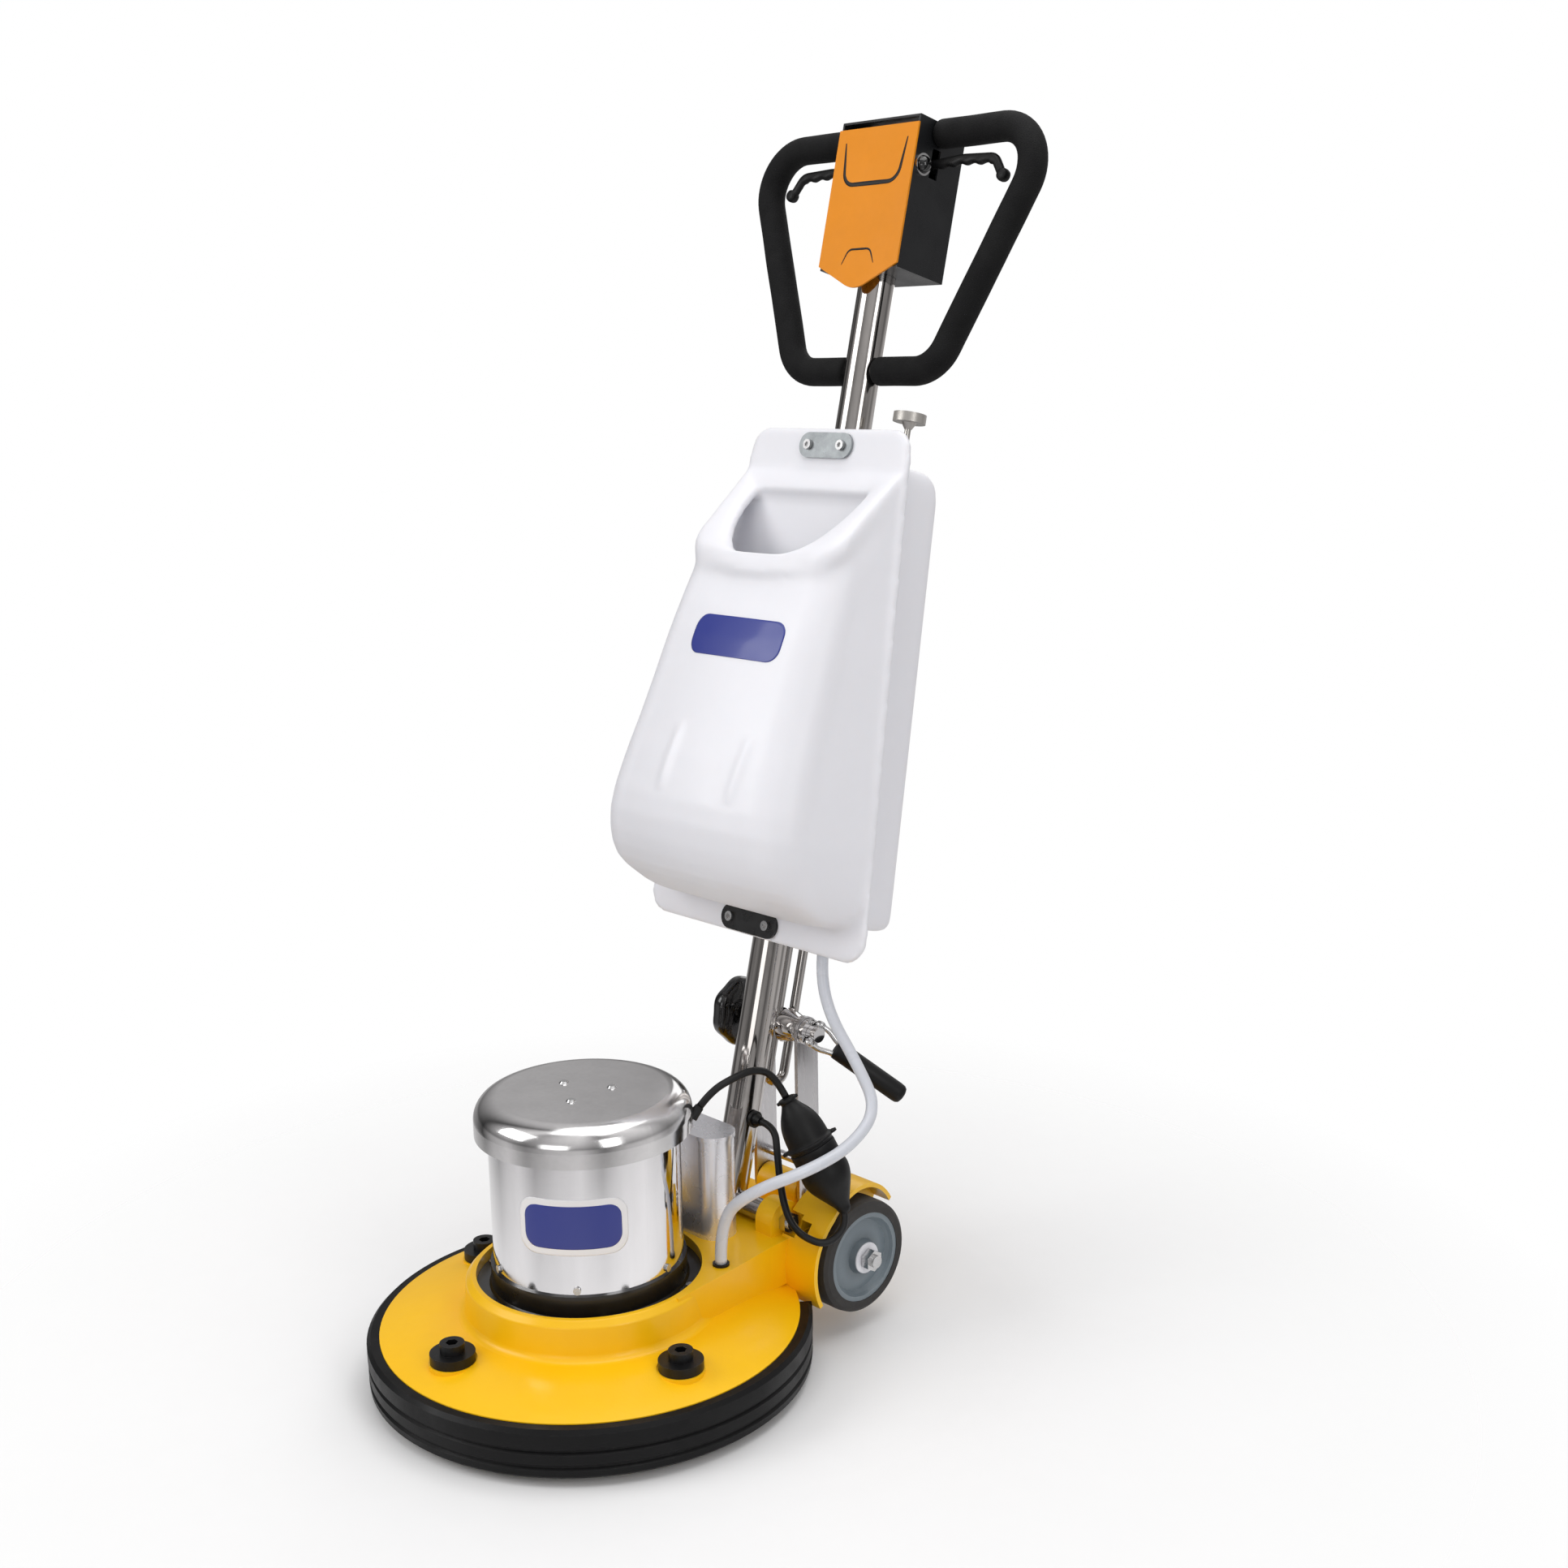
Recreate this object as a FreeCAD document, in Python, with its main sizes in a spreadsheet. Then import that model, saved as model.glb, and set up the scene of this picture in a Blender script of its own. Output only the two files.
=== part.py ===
import FreeCAD, Part

import Sketcher
import math
import os

# Rotary floor machine. Millimetres, +Z up. The origin is on the floor, on the axis of the brush.
# +X is the machine's right-hand side seen from the front, and +Y points back, to the operator.

V = FreeCAD.Vector
DOC = FreeCAD.newDocument("FloorMachine")
X_AXIS = V(1, 0, 0)
Y_AXIS = V(0, 1, 0)
Z_AXIS = V(0, 0, 1)
GAP = 0.3

SIZES = {
    "skirt_radius": 235, "skirt_bottom": 9, "skirt_top": 60, "skirt_sweep": 281,
    "rim_radius": 221.7, "rim_bottom": 46, "rim_top": 61, "casting_wall": 6,
    "collar_outer": 130, "collar_inner": 119, "collar_top": 117, "deck_floor": 100,
    "gear_bore": 81, "neck_top": 117,
    "knob_circle": 174, "knob_radius": 23, "knob_height": 10, "knob_boss": 12.5,
    "can_radius": 100, "can_wall": 1.5, "can_bottom": 131, "can_top": 284,
    "cap_radius": 113.6, "cap_bottom": 272, "cap_top": 312, "cap_corner": 24, "cap_wall": 2.5,
    "stator_radius": 98.2, "rotor_radius": 48, "air_gap": 0.6, "core_bottom": 150, "core_top": 225,
    "shaft_radius": 10, "shaft_fit": 0.05, "bearing_radius": 23.5,
    "brush_radius": 195, "block_bottom": 32, "block_top": 52, "bristle_outer": 192,
    "bristle_inner": 70,
    "box_half": 60, "box_half_depth": 22.5, "box_centre": 145.5, "box_top": 235, "box_wall": 1.5,
    "wheel_y": 262, "wheel_z": 85, "tyre_radius": 63, "rim_wheel_radius": 50,
    "wheel_inner": 112, "wheel_outer": 152, "axle_radius": 7, "axle_half": 170,
    "hinge_y": 199.57, "hinge_z": 129.61, "hinge_pin": 8, "ear_inner": 67, "ear_outer": 92,
    "ear_radius": 22,
    "lug_y": 290, "lug_z": 115, "lug_half": 31, "lug_pin": 6,
    "strut_inner": 32.5, "strut_thick": 5, "strut_length": 196, "strut_width": 32, "strut_eye": 8.5,
    "column_y": 194.8, "column_z": 110.7, "column_tilt": 14.17,
    "tube_radius": 20, "tube_wall": 2, "tube_bottom": 24.5, "tube_top": 1199,
    "cross_radius": 12.5, "cross_half": 66.5,
    "track_rod": 5.5, "track_near": 30.2, "track_far": 55.6, "track_bottom": 163, "track_top": 352,
    "clamp_height": 217, "clamp_depth": 43, "clamp_bolt_radius": 5,
    "hand_knob_radius": 41,
    "bar_height": 1209, "bar_low": 952, "bar_radius": 9.5, "grip_radius": 16,
    "case_half": 58, "case_front": 33, "case_back": 40, "case_bottom": 1057, "case_top": 1221,
    "case_wall": 2.5,
    "lever_height": 1175, "lever_radius": 4.5,
    "button_height": 1170, "button_depth": 20, "button_radius": 7,
    "tank_wall": 4, "valve_side": 80, "valve_depth": 2, "tank_floor": 350,
    "cord_radius": 4, "hose_radius": 6.4,
    "gear_module": 1.5, "sun_teeth": 12, "planet_teeth": 36, "ring_teeth": 84,
    "gear_bottom": 82, "gear_top": 96,
}


class Size:
    """A number together with the spreadsheet expression that gives it."""

    def __init__(self, number, text):
        self.number = float(number)
        self.text = text

    def __add__(self, other):
        return Size(self.number + value(other), f"({self.text} + {written(other)})")

    def __sub__(self, other):
        return Size(self.number - value(other), f"({self.text} - {written(other)})")

    def __rsub__(self, other):
        return Size(value(other) - self.number, f"({written(other)} - {self.text})")

    def __mul__(self, other):
        return Size(self.number * value(other), f"({self.text} * {written(other)})")

    def __neg__(self):
        return Size(-self.number, f"(0 - {self.text})")

    __radd__ = __add__
    __rmul__ = __mul__


def value(size):
    return size.number if isinstance(size, Size) else float(size)


def written(size):
    return size.text if isinstance(size, Size) else f"{float(size):.6f}"


def make_sheet():
    sheet = DOC.addObject("Spreadsheet::Sheet", "Dims")
    sizes = {}
    for row, (alias, number) in enumerate(SIZES.items(), start=1):
        sheet.set(f"A{row}", alias)
        sheet.set(f"B{row}", str(number))
        sheet.setAlias(f"B{row}", alias)
        sizes[alias] = Size(number, f"Dims.{alias}")
    DOC.recompute()
    return sizes


D = make_sheet()
N = {alias: size.number for alias, size in D.items()}

WORLD = FreeCAD.Placement()
# The column's own frame: x as in the world, y backward from the tube's axis, z up along the tube.
COLUMN = FreeCAD.Placement(
    V(0, N["column_y"], N["column_z"]), FreeCAD.Rotation(X_AXIS, -N["column_tilt"])
)
NODES = {}


def keep(label, thing, frame=WORLD):
    """Names a finished sub-part, puts it in its frame and lists it for export."""
    thing.Label = label
    thing.Placement = frame.multiply(thing.Placement)
    NODES[label] = thing
    return thing


def bind(thing, **sizes):
    for name, size in sizes.items():
        if isinstance(size, Size):
            thing.setExpression(name, size.text)
        else:
            setattr(thing, name, size)


def placed(x=0, y=0, z=0, axis=Z_AXIS):
    """A placement at a point, with local Z turned to an axis."""
    return FreeCAD.Placement(V(value(x), value(y), value(z)), FreeCAD.Rotation(Z_AXIS, axis))


# ---- Part primitives and booleans -------------------------------------------------------------


def cylinder(radius, height, where=WORLD, angle=360):
    thing = DOC.addObject("Part::Cylinder", "Cylinder")
    bind(thing, Radius=radius, Height=height, Angle=angle)
    thing.Placement = where
    return thing


def cone(low, high, height, where=WORLD):
    thing = DOC.addObject("Part::Cone", "Cone")
    bind(thing, Radius1=low, Radius2=high, Height=height)
    thing.Placement = where
    return thing


def box(x_low, x_high, y_low, y_high, z_low, z_high):
    thing = DOC.addObject("Part::Box", "Box")
    bind(thing, Length=x_high - x_low, Width=y_high - y_low, Height=z_high - z_low)
    thing.Placement = placed(x_low, y_low, z_low)
    return thing


def ball(radius, x, y, z):
    thing = DOC.addObject("Part::Sphere", "Ball")
    bind(thing, Radius=radius)
    thing.Placement = placed(x, y, z)
    return thing


def nut(across, height, where):
    thing = DOC.addObject("Part::Prism", "Nut")
    bind(thing, Polygon=6, Circumradius=across / 2 / math.cos(math.pi / 6), Height=height)
    thing.Placement = where
    return thing


def joined(*things):
    thing = DOC.addObject("Part::MultiFuse", "Joined")
    thing.Shapes = list(things)
    thing.Refine = True
    return thing


def group(things):
    """Several separate solids in one sub-part."""
    thing = DOC.addObject("Part::Compound", "Group")
    thing.Links = list(things)
    return thing


def less(base, *tools):
    """The base with every tool cut away."""
    thing = DOC.addObject("Part::Cut", "Cut")
    thing.Base = base
    thing.Tool = tools[0] if len(tools) == 1 else joined(*tools)
    return thing


def shaped(shape):
    """A shape made directly with Part, for tubes, lofts and gear teeth."""
    thing = DOC.addObject("Part::Feature", "Shaped")
    thing.Shape = shape
    return thing


def tube_hole(outer, inner, height, where):
    """A plain bush: a cylinder with a concentric bore right through it."""
    bore = cylinder(inner, height + 2.0, where.multiply(placed(0, 0, -1)))
    return less(cylinder(outer, height, where), bore)


# ---- PartDesign bodies ------------------------------------------------------------------------


def origin_plane(body, role):
    return next(item for item in body.Origin.OriginFeatures if item.Role == role)


def outline(body, plane, corners):
    """A closed sketch. Each corner is (across, up), or (across, up, via) for an arc that comes to it."""
    sketch = body.newObject("Sketcher::SketchObject", "Outline")
    sketch.AttachmentSupport = [(origin_plane(body, plane), "")]
    sketch.MapMode = "FlatFace"
    before = corners[-1]
    for corner in corners:
        start = V(value(before[0]), value(before[1]), 0)
        end = V(value(corner[0]), value(corner[1]), 0)
        if len(corner) == 3:
            via = V(value(corner[2][0]), value(corner[2][1]), 0)
            edge = sketch.addGeometry(Part.Arc(start, via, end), False)
            pin_centre(sketch, edge, end.sub(start))
            last = 2 if sketch.getPoint(edge, 2).distanceToPoint(end) < 1e-6 else 1
        else:
            edge = sketch.addGeometry(Part.LineSegment(start, end), False)
            last = 2
        pin_corner(sketch, edge, last, corner)
        pin_corner(sketch, edge, 3 - last, before)
        before = corner
    return sketch


def pin_centre(sketch, edge, chord):
    """The centre of an arc lies on its chord's bisector, so one more distance settles it."""
    centre = sketch.getPoint(edge, 3)
    if abs(chord.y) > abs(chord.x):
        sketch.addConstraint(Sketcher.Constraint("DistanceX", -1, 1, edge, 3, centre.x))
    else:
        sketch.addConstraint(Sketcher.Constraint("DistanceY", -1, 1, edge, 3, centre.y))


def pin_corner(sketch, edge, end, corner):
    """Ties one end of an edge to the sheet with a horizontal and a vertical distance."""
    for kind, size in (("DistanceX", corner[0]), ("DistanceY", corner[1])):
        index = sketch.addConstraint(Sketcher.Constraint(kind, -1, 1, edge, end, value(size)))
        if isinstance(size, Size):
            sketch.setExpression(f"Constraints[{index}]", size.text)


def turned(corners, angle=360.0):
    """A body of revolution about Z. The corners are (radius, height)."""
    body = DOC.addObject("PartDesign::Body", "Turned")
    sketch = outline(body, "XZ_Plane", corners)
    spin = body.newObject("PartDesign::Revolution", "Revolution")
    spin.Profile = sketch
    spin.ReferenceAxis = (sketch, ["V_Axis"])
    spin.Midplane = value(angle) < 360
    bind(spin, Angle=angle)
    return body


def padded(plane, corners, length, both_ways=False):
    """A straight body with a sketched outline."""
    body = DOC.addObject("PartDesign::Body", "Padded")
    pad = body.newObject("PartDesign::Pad", "Pad")
    pad.Profile = outline(body, plane, corners)
    pad.Midplane = both_ways
    bind(pad, Length=length)
    return body


def rounded(body, radius, test):
    """Fillets the edges of a body that pass a test."""
    DOC.recompute()
    tip = body.Tip
    names = [f"Edge{i}" for i, edge in enumerate(tip.Shape.Edges, start=1) if test(edge)]
    fillet = body.newObject("PartDesign::Fillet", "Fillet")
    fillet.Base = (tip, names)
    fillet.Radius = radius
    return body


def ring_edge(radius, height):
    """A test for a full circle of this radius at this height."""

    def test(edge):
        curve = edge.Curve
        return (
            isinstance(curve, Part.Circle)
            and abs(curve.Radius - value(radius)) < 0.01
            and abs(curve.Center.z - value(height)) < 0.01
        )

    return test


# ---- Tubes along a bent path ------------------------------------------------------------------


def bent_path(points, bend=None):
    """Straight runs joined by tangent arcs. Without a bend radius each arc is as large as its runs allow."""
    edges = []
    radii = []
    start = points[0]
    for before, corner, after in zip(points, points[1:], points[2:]):
        to_corner = corner.sub(before)
        onward = after.sub(corner)
        half = to_corner.getAngle(onward) / 2
        shorter = min(to_corner.Length, onward.Length)
        radius = bend or 0.45 * shorter / math.tan(half)
        reach = radius * math.tan(half)
        first = corner.sub(V(to_corner).normalize().multiply(reach))
        last = corner.add(V(onward).normalize().multiply(reach))
        inward = V(onward).normalize().sub(V(to_corner).normalize()).normalize()
        middle = corner.add(inward.multiply(radius / math.cos(half) - radius))
        edges.append(Part.LineSegment(start, first).toShape())
        edges.append(Part.Arc(first, middle, last).toShape())
        radii.append(radius)
        start = last
    edges.append(Part.LineSegment(start, points[-1]).toShape())
    return Part.Wire(edges), radii


def swept(points, radius, bend=None, bore=0.0):
    path, radii = bent_path(points, bend)
    heading = points[1].sub(points[0])

    def solid(section_radius):
        section = Part.Wire(Part.makeCircle(section_radius, points[0], heading))
        return path.makePipeShell([section], True, False)

    shape = solid(radius)
    if bore:
        shape = shape.cut(solid(bore))
    return shape, path.Length, radii


def cord(label, points, radius):
    """A free cord: prints its length, its tightest bend and how well its volume agrees."""
    shape, length, radii = swept(points, radius)
    share = shape.Volume / (math.pi * radius**2 * length)
    print(f"{label}: length {length:.0f}, tightest bend {min(radii):.0f}, volume share {share:.4f}")
    print("   bends", [round(r) for r in radii])
    keep(label, shaped(shape))


# ---- Deck, skirt and knobs --------------------------------------------------------------------


def rear_plate(side):
    """One side wall behind the deck, arched over the wheel, with the mudguard that wraps the tyre."""
    y = N["wheel_y"]
    z = N["wheel_z"]
    reach = 79.0
    lip = 5.0
    wall_inner = 96.0
    wall = 8.0
    widest = 152.0
    foot = math.radians(207.0)
    front = math.radians(156.4)
    rear = math.radians(32.0)

    def on_arch(angle, radius=reach):
        return (y + radius * math.cos(angle), z + radius * math.sin(angle))

    corners = [
        (180.0, 60.0), (180.0, D["neck_top"]), on_arch(front),
        on_arch(rear) + (on_arch((front + rear) / 2),), (305.0, 84.0), (292.0, 60.0),
    ]
    plate = padded("YZ_Plane", corners, wall)
    plate.Placement = placed(wall_inner if side > 0 else -wall_inner - wall, 0, 0)
    middle = (foot + rear) / 2
    guard = padded(
        "YZ_Plane",
        [
            on_arch(foot), on_arch(rear) + (on_arch(middle),), on_arch(rear, reach - lip),
            on_arch(foot, reach - lip) + (on_arch(middle, reach - lip),),
        ],
        widest - wall_inner,
    )
    guard.Placement = placed(wall_inner if side > 0 else -widest, 0, 0)
    # The mudguard narrows to the rear, so its outer side is cut off along a slanting line.
    slant = [(widest, 215.0), (170.0, 215.0), (170.0, 345.0), (125.0, 345.0)]
    offcut = padded("XY_Plane", [(side * x, depth) for x, depth in slant], 200.0)
    return [plate, less(guard, offcut)]


def arched_lug(y, z, radius, foot, x_low, x_high):
    """A flat lug with a round top about a pin axis."""
    corners = [
        (y - radius, foot), (y + radius, foot), (y + radius, z),
        (y - radius, z, (y, z + value(radius))),
    ]
    lug = padded("YZ_Plane", corners, x_high - x_low)
    lug.Placement = placed(x_low, 0, 0)
    return lug


def neck_outline(inset):
    """Half-width of the neck at four stations, narrowing to the rear, as a closed loop."""
    stations = [(14.0, 127.0), (96.0, 118.0), (160.0, 109.0), (232.0, 104.0)]
    rear_y = stations[-1][0] - inset
    right = [(x - inset, y) for y, x in stations[:-1]] + [(stations[-1][1] - inset, rear_y)]
    left = [(-x, y) for x, y in reversed(right)]
    return right + left


def knob_places():
    """The three deck knobs stand at the front and at both sides."""
    for degrees in (-91.0, -7.7, 184.5):
        angle = math.radians(degrees)
        yield N["knob_circle"] * math.cos(angle), N["knob_circle"] * math.sin(angle)


def make_deck():
    wall = D["casting_wall"]
    shell = turned([
        (D["gear_bore"], D["deck_floor"] - 5), (D["gear_bore"], D["deck_floor"]),
        (D["collar_inner"], D["deck_floor"]), (D["collar_inner"], D["collar_top"]),
        (D["collar_outer"] - 6, D["collar_top"]), (D["collar_outer"], D["collar_top"] - 6),
        (D["collar_outer"] + 3, 76.0),
        (D["rim_radius"], D["rim_top"], (180.0, 71.0)),
        (D["rim_radius"], D["rim_bottom"]), (D["rim_radius"] - wall, D["rim_bottom"]),
        (D["rim_radius"] - wall, D["rim_top"] - wall),
        (126.0, 68.5, (178.0, 64.5)), (126.0, D["deck_floor"] - 5),
    ])
    rounded(shell, 8.0, ring_edge(N["collar_outer"] + 3, 76.0))
    rounded(shell, 2.5, ring_edge(N["collar_outer"] - 6, N["collar_top"]))
    rounded(shell, 2.5, ring_edge(N["collar_outer"], N["collar_top"] - 6))

    neck = padded("XY_Plane", neck_outline(0.0), D["neck_top"] - 66)
    neck.Placement = placed(0, 0, 66)
    neck_room = padded("XY_Plane", neck_outline(6.0), D["neck_top"] - 6 - 60)
    neck_room.Placement = placed(0, 0, 60)
    well = cylinder(D["collar_inner"], 40, placed(0, 0, D["deck_floor"]))
    under = cylinder(126.0, D["deck_floor"] - 5 - 50, placed(0, 0, 50))
    bore = cylinder(D["gear_bore"], 60, placed(0, 0, 80))
    hollow_neck = less(neck, neck_room, well, under, bore)

    step_wall = box(-100, 100, 226, 232, 92.5, N["neck_top"])
    rear_floor = box(-100, 100, 226, 300, 92.5, 97.5)
    bosses = [cylinder(24.5, 9.5, placed(x, y, 63)) for x, y in knob_places()]
    hinge = (D["hinge_y"], D["hinge_z"])
    ears = [
        arched_lug(*hinge, D["ear_radius"], 112.0, low, low + N["ear_outer"] - N["ear_inner"])
        for low in (N["ear_inner"], -N["ear_outer"])
    ]
    lug = arched_lug(D["lug_y"], D["lug_z"], 19.0, 94.0, -N["lug_half"], N["lug_half"])
    plates = rear_plate(1) + rear_plate(-1)
    solid = joined(shell, hollow_neck, step_wall, rear_floor, lug, *bosses, *ears, *plates)

    holes = [
        cylinder(D["hinge_pin"] + 0.05, 260, placed(-130, D["hinge_y"], D["hinge_z"], X_AXIS)),
        cylinder(D["lug_pin"] + 0.05, 80, placed(-40, D["lug_y"], D["lug_z"], X_AXIS)),
        cylinder(D["axle_radius"] + 0.05, 260, placed(-130, D["wheel_y"], D["wheel_z"], X_AXIS)),
        cylinder(6.1, 20, placed(101, 96, 104)),
    ]
    holes += [cylinder(5.2, 40, placed(x, y, 50)) for x, y in knob_places()]
    holes += [cylinder(24.5, 20, placed(x, y, 72.5)) for x, y in knob_places()]
    holes += [cylinder(2.3, 12, placed(x, y, 93)) for x, y, _ in bolt_circle(111.5, 6, 30)]
    holes += [
        cylinder(13.5, 22, placed(x, D["hinge_y"], D["hinge_z"], X_AXIS)) for x in (92.02, -114.02)
    ]
    keep("deck_casting", less(solid, *holes))


def make_skirt():
    top = D["skirt_top"]
    ring = turned(
        [
            (222.0, top), (D["skirt_radius"] - 4, top), (D["skirt_radius"], top - 4),
            (D["skirt_radius"], 41.0), (232.0, 39.0), (232.0, 37.0), (234.6, 35.0), (234.6, 24.5),
            (232.0, 22.5), (232.0, 20.5), (234.6, 18.5), (234.0, 12.0), (231.0, D["skirt_bottom"]),
            (226.0, D["skirt_bottom"]), (226.0, 45.5), (222.0, 45.5),
        ],
        D["skirt_sweep"],
    )
    ring.Placement = FreeCAD.Placement(V(0, 0, 0), FreeCAD.Rotation(Z_AXIS, -90))
    clips = []
    half_turn = N["skirt_sweep"] / 2 + 1.2
    for side in (1, -1):
        clip = box(221.9, 235.5, -4, 4, 11, 57)
        turn = FreeCAD.Rotation(Z_AXIS, -90 + side * half_turn)
        clip.Placement = FreeCAD.Placement(V(0, 0, 0), turn).multiply(clip.Placement)
        clips.append(clip)
    keep("bumper_skirt", group([ring] + clips))


def make_deck_knobs():
    base = 72.8
    knobs = []
    for x, y in knob_places():
        disc = cylinder(D["knob_radius"], D["knob_height"], placed(x, y, base))
        boss = cylinder(D["knob_boss"], 10, placed(x, y, base + N["knob_height"]))
        stem = cylinder(5.0, 16, placed(x, y, base - 16))
        socket = nut(11.0, 9, placed(x, y, base + N["knob_height"] + 4))
        knobs.append(less(joined(disc, boss, stem), socket))
    keep("deck_knobs", group(knobs))


# ---- Motor ------------------------------------------------------------------------------------


def bolt_circle(radius, count, first=0.0):
    for i in range(count):
        angle = math.radians(first + 360.0 * i / count)
        yield radius * math.cos(angle), radius * math.sin(angle), angle


def make_motor_housing():
    floor = D["deck_floor"]
    dish = turned([
        (96.0, floor), (D["collar_inner"] - 0.4, floor), (D["collar_inner"] - 0.4, floor + 6),
        (105.5, floor + 6), (103.4, floor + 9), (103.0, floor + 25), (96.0, floor + 25),
    ])
    dish_holes = [cylinder(2.3, 20, placed(x, y, 95)) for x, y, _ in bolt_circle(111.5, 6, 30)]
    keep("motor_dish", less(dish, *dish_holes))

    seat = D["bearing_radius"] + 0.05
    bottom = D["can_bottom"]
    bell = turned([
        (15.0, 108.0), (32.0, 108.0), (32.0, bottom - 6), (103.0, bottom - 6), (103.0, bottom),
        (D["stator_radius"], bottom), (D["stator_radius"], bottom + 13), (93.0, bottom + 13),
        (93.0, bottom), (seat, bottom), (seat, 110.0), (15.0, 110.0),
    ])
    keep("lower_end_bell", less(bell, *side_screws(2.2, 84.0, 20.0)))

    can = turned([
        (D["can_radius"] - D["can_wall"], bottom), (D["can_radius"], bottom),
        (D["can_radius"], D["can_top"]), (D["can_radius"] - D["can_wall"], D["can_top"]),
    ])
    keep("motor_can", less(can, *side_screws(2.3, 90.0, 20.0)))
    heads = [cylinder(4.0, 2.2, item) for item in side_places(100.1)]
    shanks = side_screws(2.0, 92.0, 8.2)
    studs = []
    for x, y, _ in bolt_circle(111.5, 6, 30):
        head = cylinder(4.2, 2.4, placed(x, y, N["deck_floor"] + 6))
        shank = cylinder(2.1, 10.1, placed(x, y, N["deck_floor"] - 4))
        studs.append(joined(head, shank))
    radial = [joined(head, shank) for head, shank in zip(heads, shanks)]
    keep("motor_screws", group(radial + studs + cap_screws()))
    make_cap()
    keep("upper_end_bell", less(
        joined(
            turned([
                (12.0, 258.0), (D["stator_radius"], 258.0), (D["stator_radius"], 263.0),
                (36.0, 263.0), (36.0, 279.0), (seat, 279.0), (seat, 262.0), (12.0, 262.0),
            ]),
            *[cylinder(5.5, 45.2, placed(x, y, 264)) for x, y, _ in bolt_circle(31.0, 3, 60)],
        ),
        *[cylinder(2.55, 30, placed(x, y, 288)) for x, y, _ in bolt_circle(31.0, 3, 60)],
        cylinder(seat, 50, placed(0, 0, 262)),
    ))
    keep("motor_bearings", group([
        tube_hole(D["bearing_radius"], D["shaft_radius"] + D["shaft_fit"], 14.0, placed(0, 0, z))
        for z in (110.2, 262.2)
    ]))


def side_places(radius):
    """Six places round the foot of the can, pointing outward."""
    for x, y, angle in bolt_circle(radius, 6, 15.0):
        outward = V(math.cos(angle), math.sin(angle), 0)
        yield placed(x, y, N["can_bottom"] + 6, outward)


def side_screws(radius, start, length):
    return [cylinder(radius, length, place) for place in side_places(start)]


def gland_place(distance):
    """Where the motor's cord leaves the cap, right and to the rear, and some way along the cord's start."""
    start = V(*PIGTAIL_ROUTE[0])
    heading = V(*PIGTAIL_ROUTE[1]).sub(start).normalize()
    root = start.add(V(heading).multiply(distance))
    return placed(root.x, root.y, root.z, heading)


def make_cap():
    outer = D["cap_radius"]
    top = D["cap_top"]
    corner = N["cap_corner"]
    wall = N["cap_wall"]
    sag = corner * math.sin(math.pi / 4)
    shoulder = (N["cap_radius"] - corner + sag, N["cap_top"] - corner + sag)
    inner_sag = (corner - wall) * math.sin(math.pi / 4)
    inner_shoulder = (N["cap_radius"] - corner + inner_sag, N["cap_top"] - corner + inner_sag)
    cap = turned([
        (outer - wall, D["cap_bottom"]), (outer, D["cap_bottom"]), (outer, top - corner),
        (outer - corner, top, shoulder), (0.0, top), (0.0, top - wall),
        (outer - corner, top - wall), (outer - wall, top - corner, inner_shoulder),
    ])
    holes = [cylinder(2.6, 20, placed(x, y, 300)) for x, y, _ in bolt_circle(31.0, 3, 60)]
    keep("motor_cap", less(cap, cylinder(6.6, 24, gland_place(-20)), *holes))


def cap_screws():
    screws = []
    for x, y, _ in bolt_circle(31.0, 3, 60):
        head = cone(5.5, 3.6, 2.2, placed(x, y, N["cap_top"]))
        screws.append(joined(head, cylinder(2.4, 21.1, placed(x, y, N["cap_top"] - 21))))
    return screws


def make_motor_inside():
    low = D["core_bottom"]
    high = D["core_top"]
    bore = D["rotor_radius"] + D["air_gap"]
    core = turned([
        (bore, low), (D["stator_radius"], low), (D["stator_radius"], high), (bore, high),
    ])
    coils = [
        tube_hole(88.0, 56.0, 13.5, placed(0, 0, z))
        for z in (N["core_bottom"] - 13.5, N["core_top"])
    ]
    keep("stator", group([core] + coils))
    shaft_hole = D["shaft_radius"] + D["shaft_fit"]
    keep("rotor_core", turned([
        (shaft_hole, low), (D["rotor_radius"], low), (D["rotor_radius"], high), (shaft_hole, high),
    ]))
    disc = cylinder(84.0, 2.0, placed(0, 0, 242))
    hub = cylinder(17.0, 14.0, placed(0, 0, 242))
    blades = []
    for _, _, angle in bolt_circle(1.0, 9):
        blade = box(14.0, 84.0, -1.0, 1.0, 243.0, 255.0)
        turn = FreeCAD.Placement(V(0, 0, 0), FreeCAD.Rotation(Z_AXIS, math.degrees(angle)))
        blade.Placement = turn.multiply(blade.Placement)
        blades.append(blade)
    fan = joined(disc, hub, *blades)
    keep("cooling_fan", less(fan, cylinder(shaft_hole, 30, placed(0, 0, 235))))


# ---- Planetary gearing ------------------------------------------------------------------------


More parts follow.
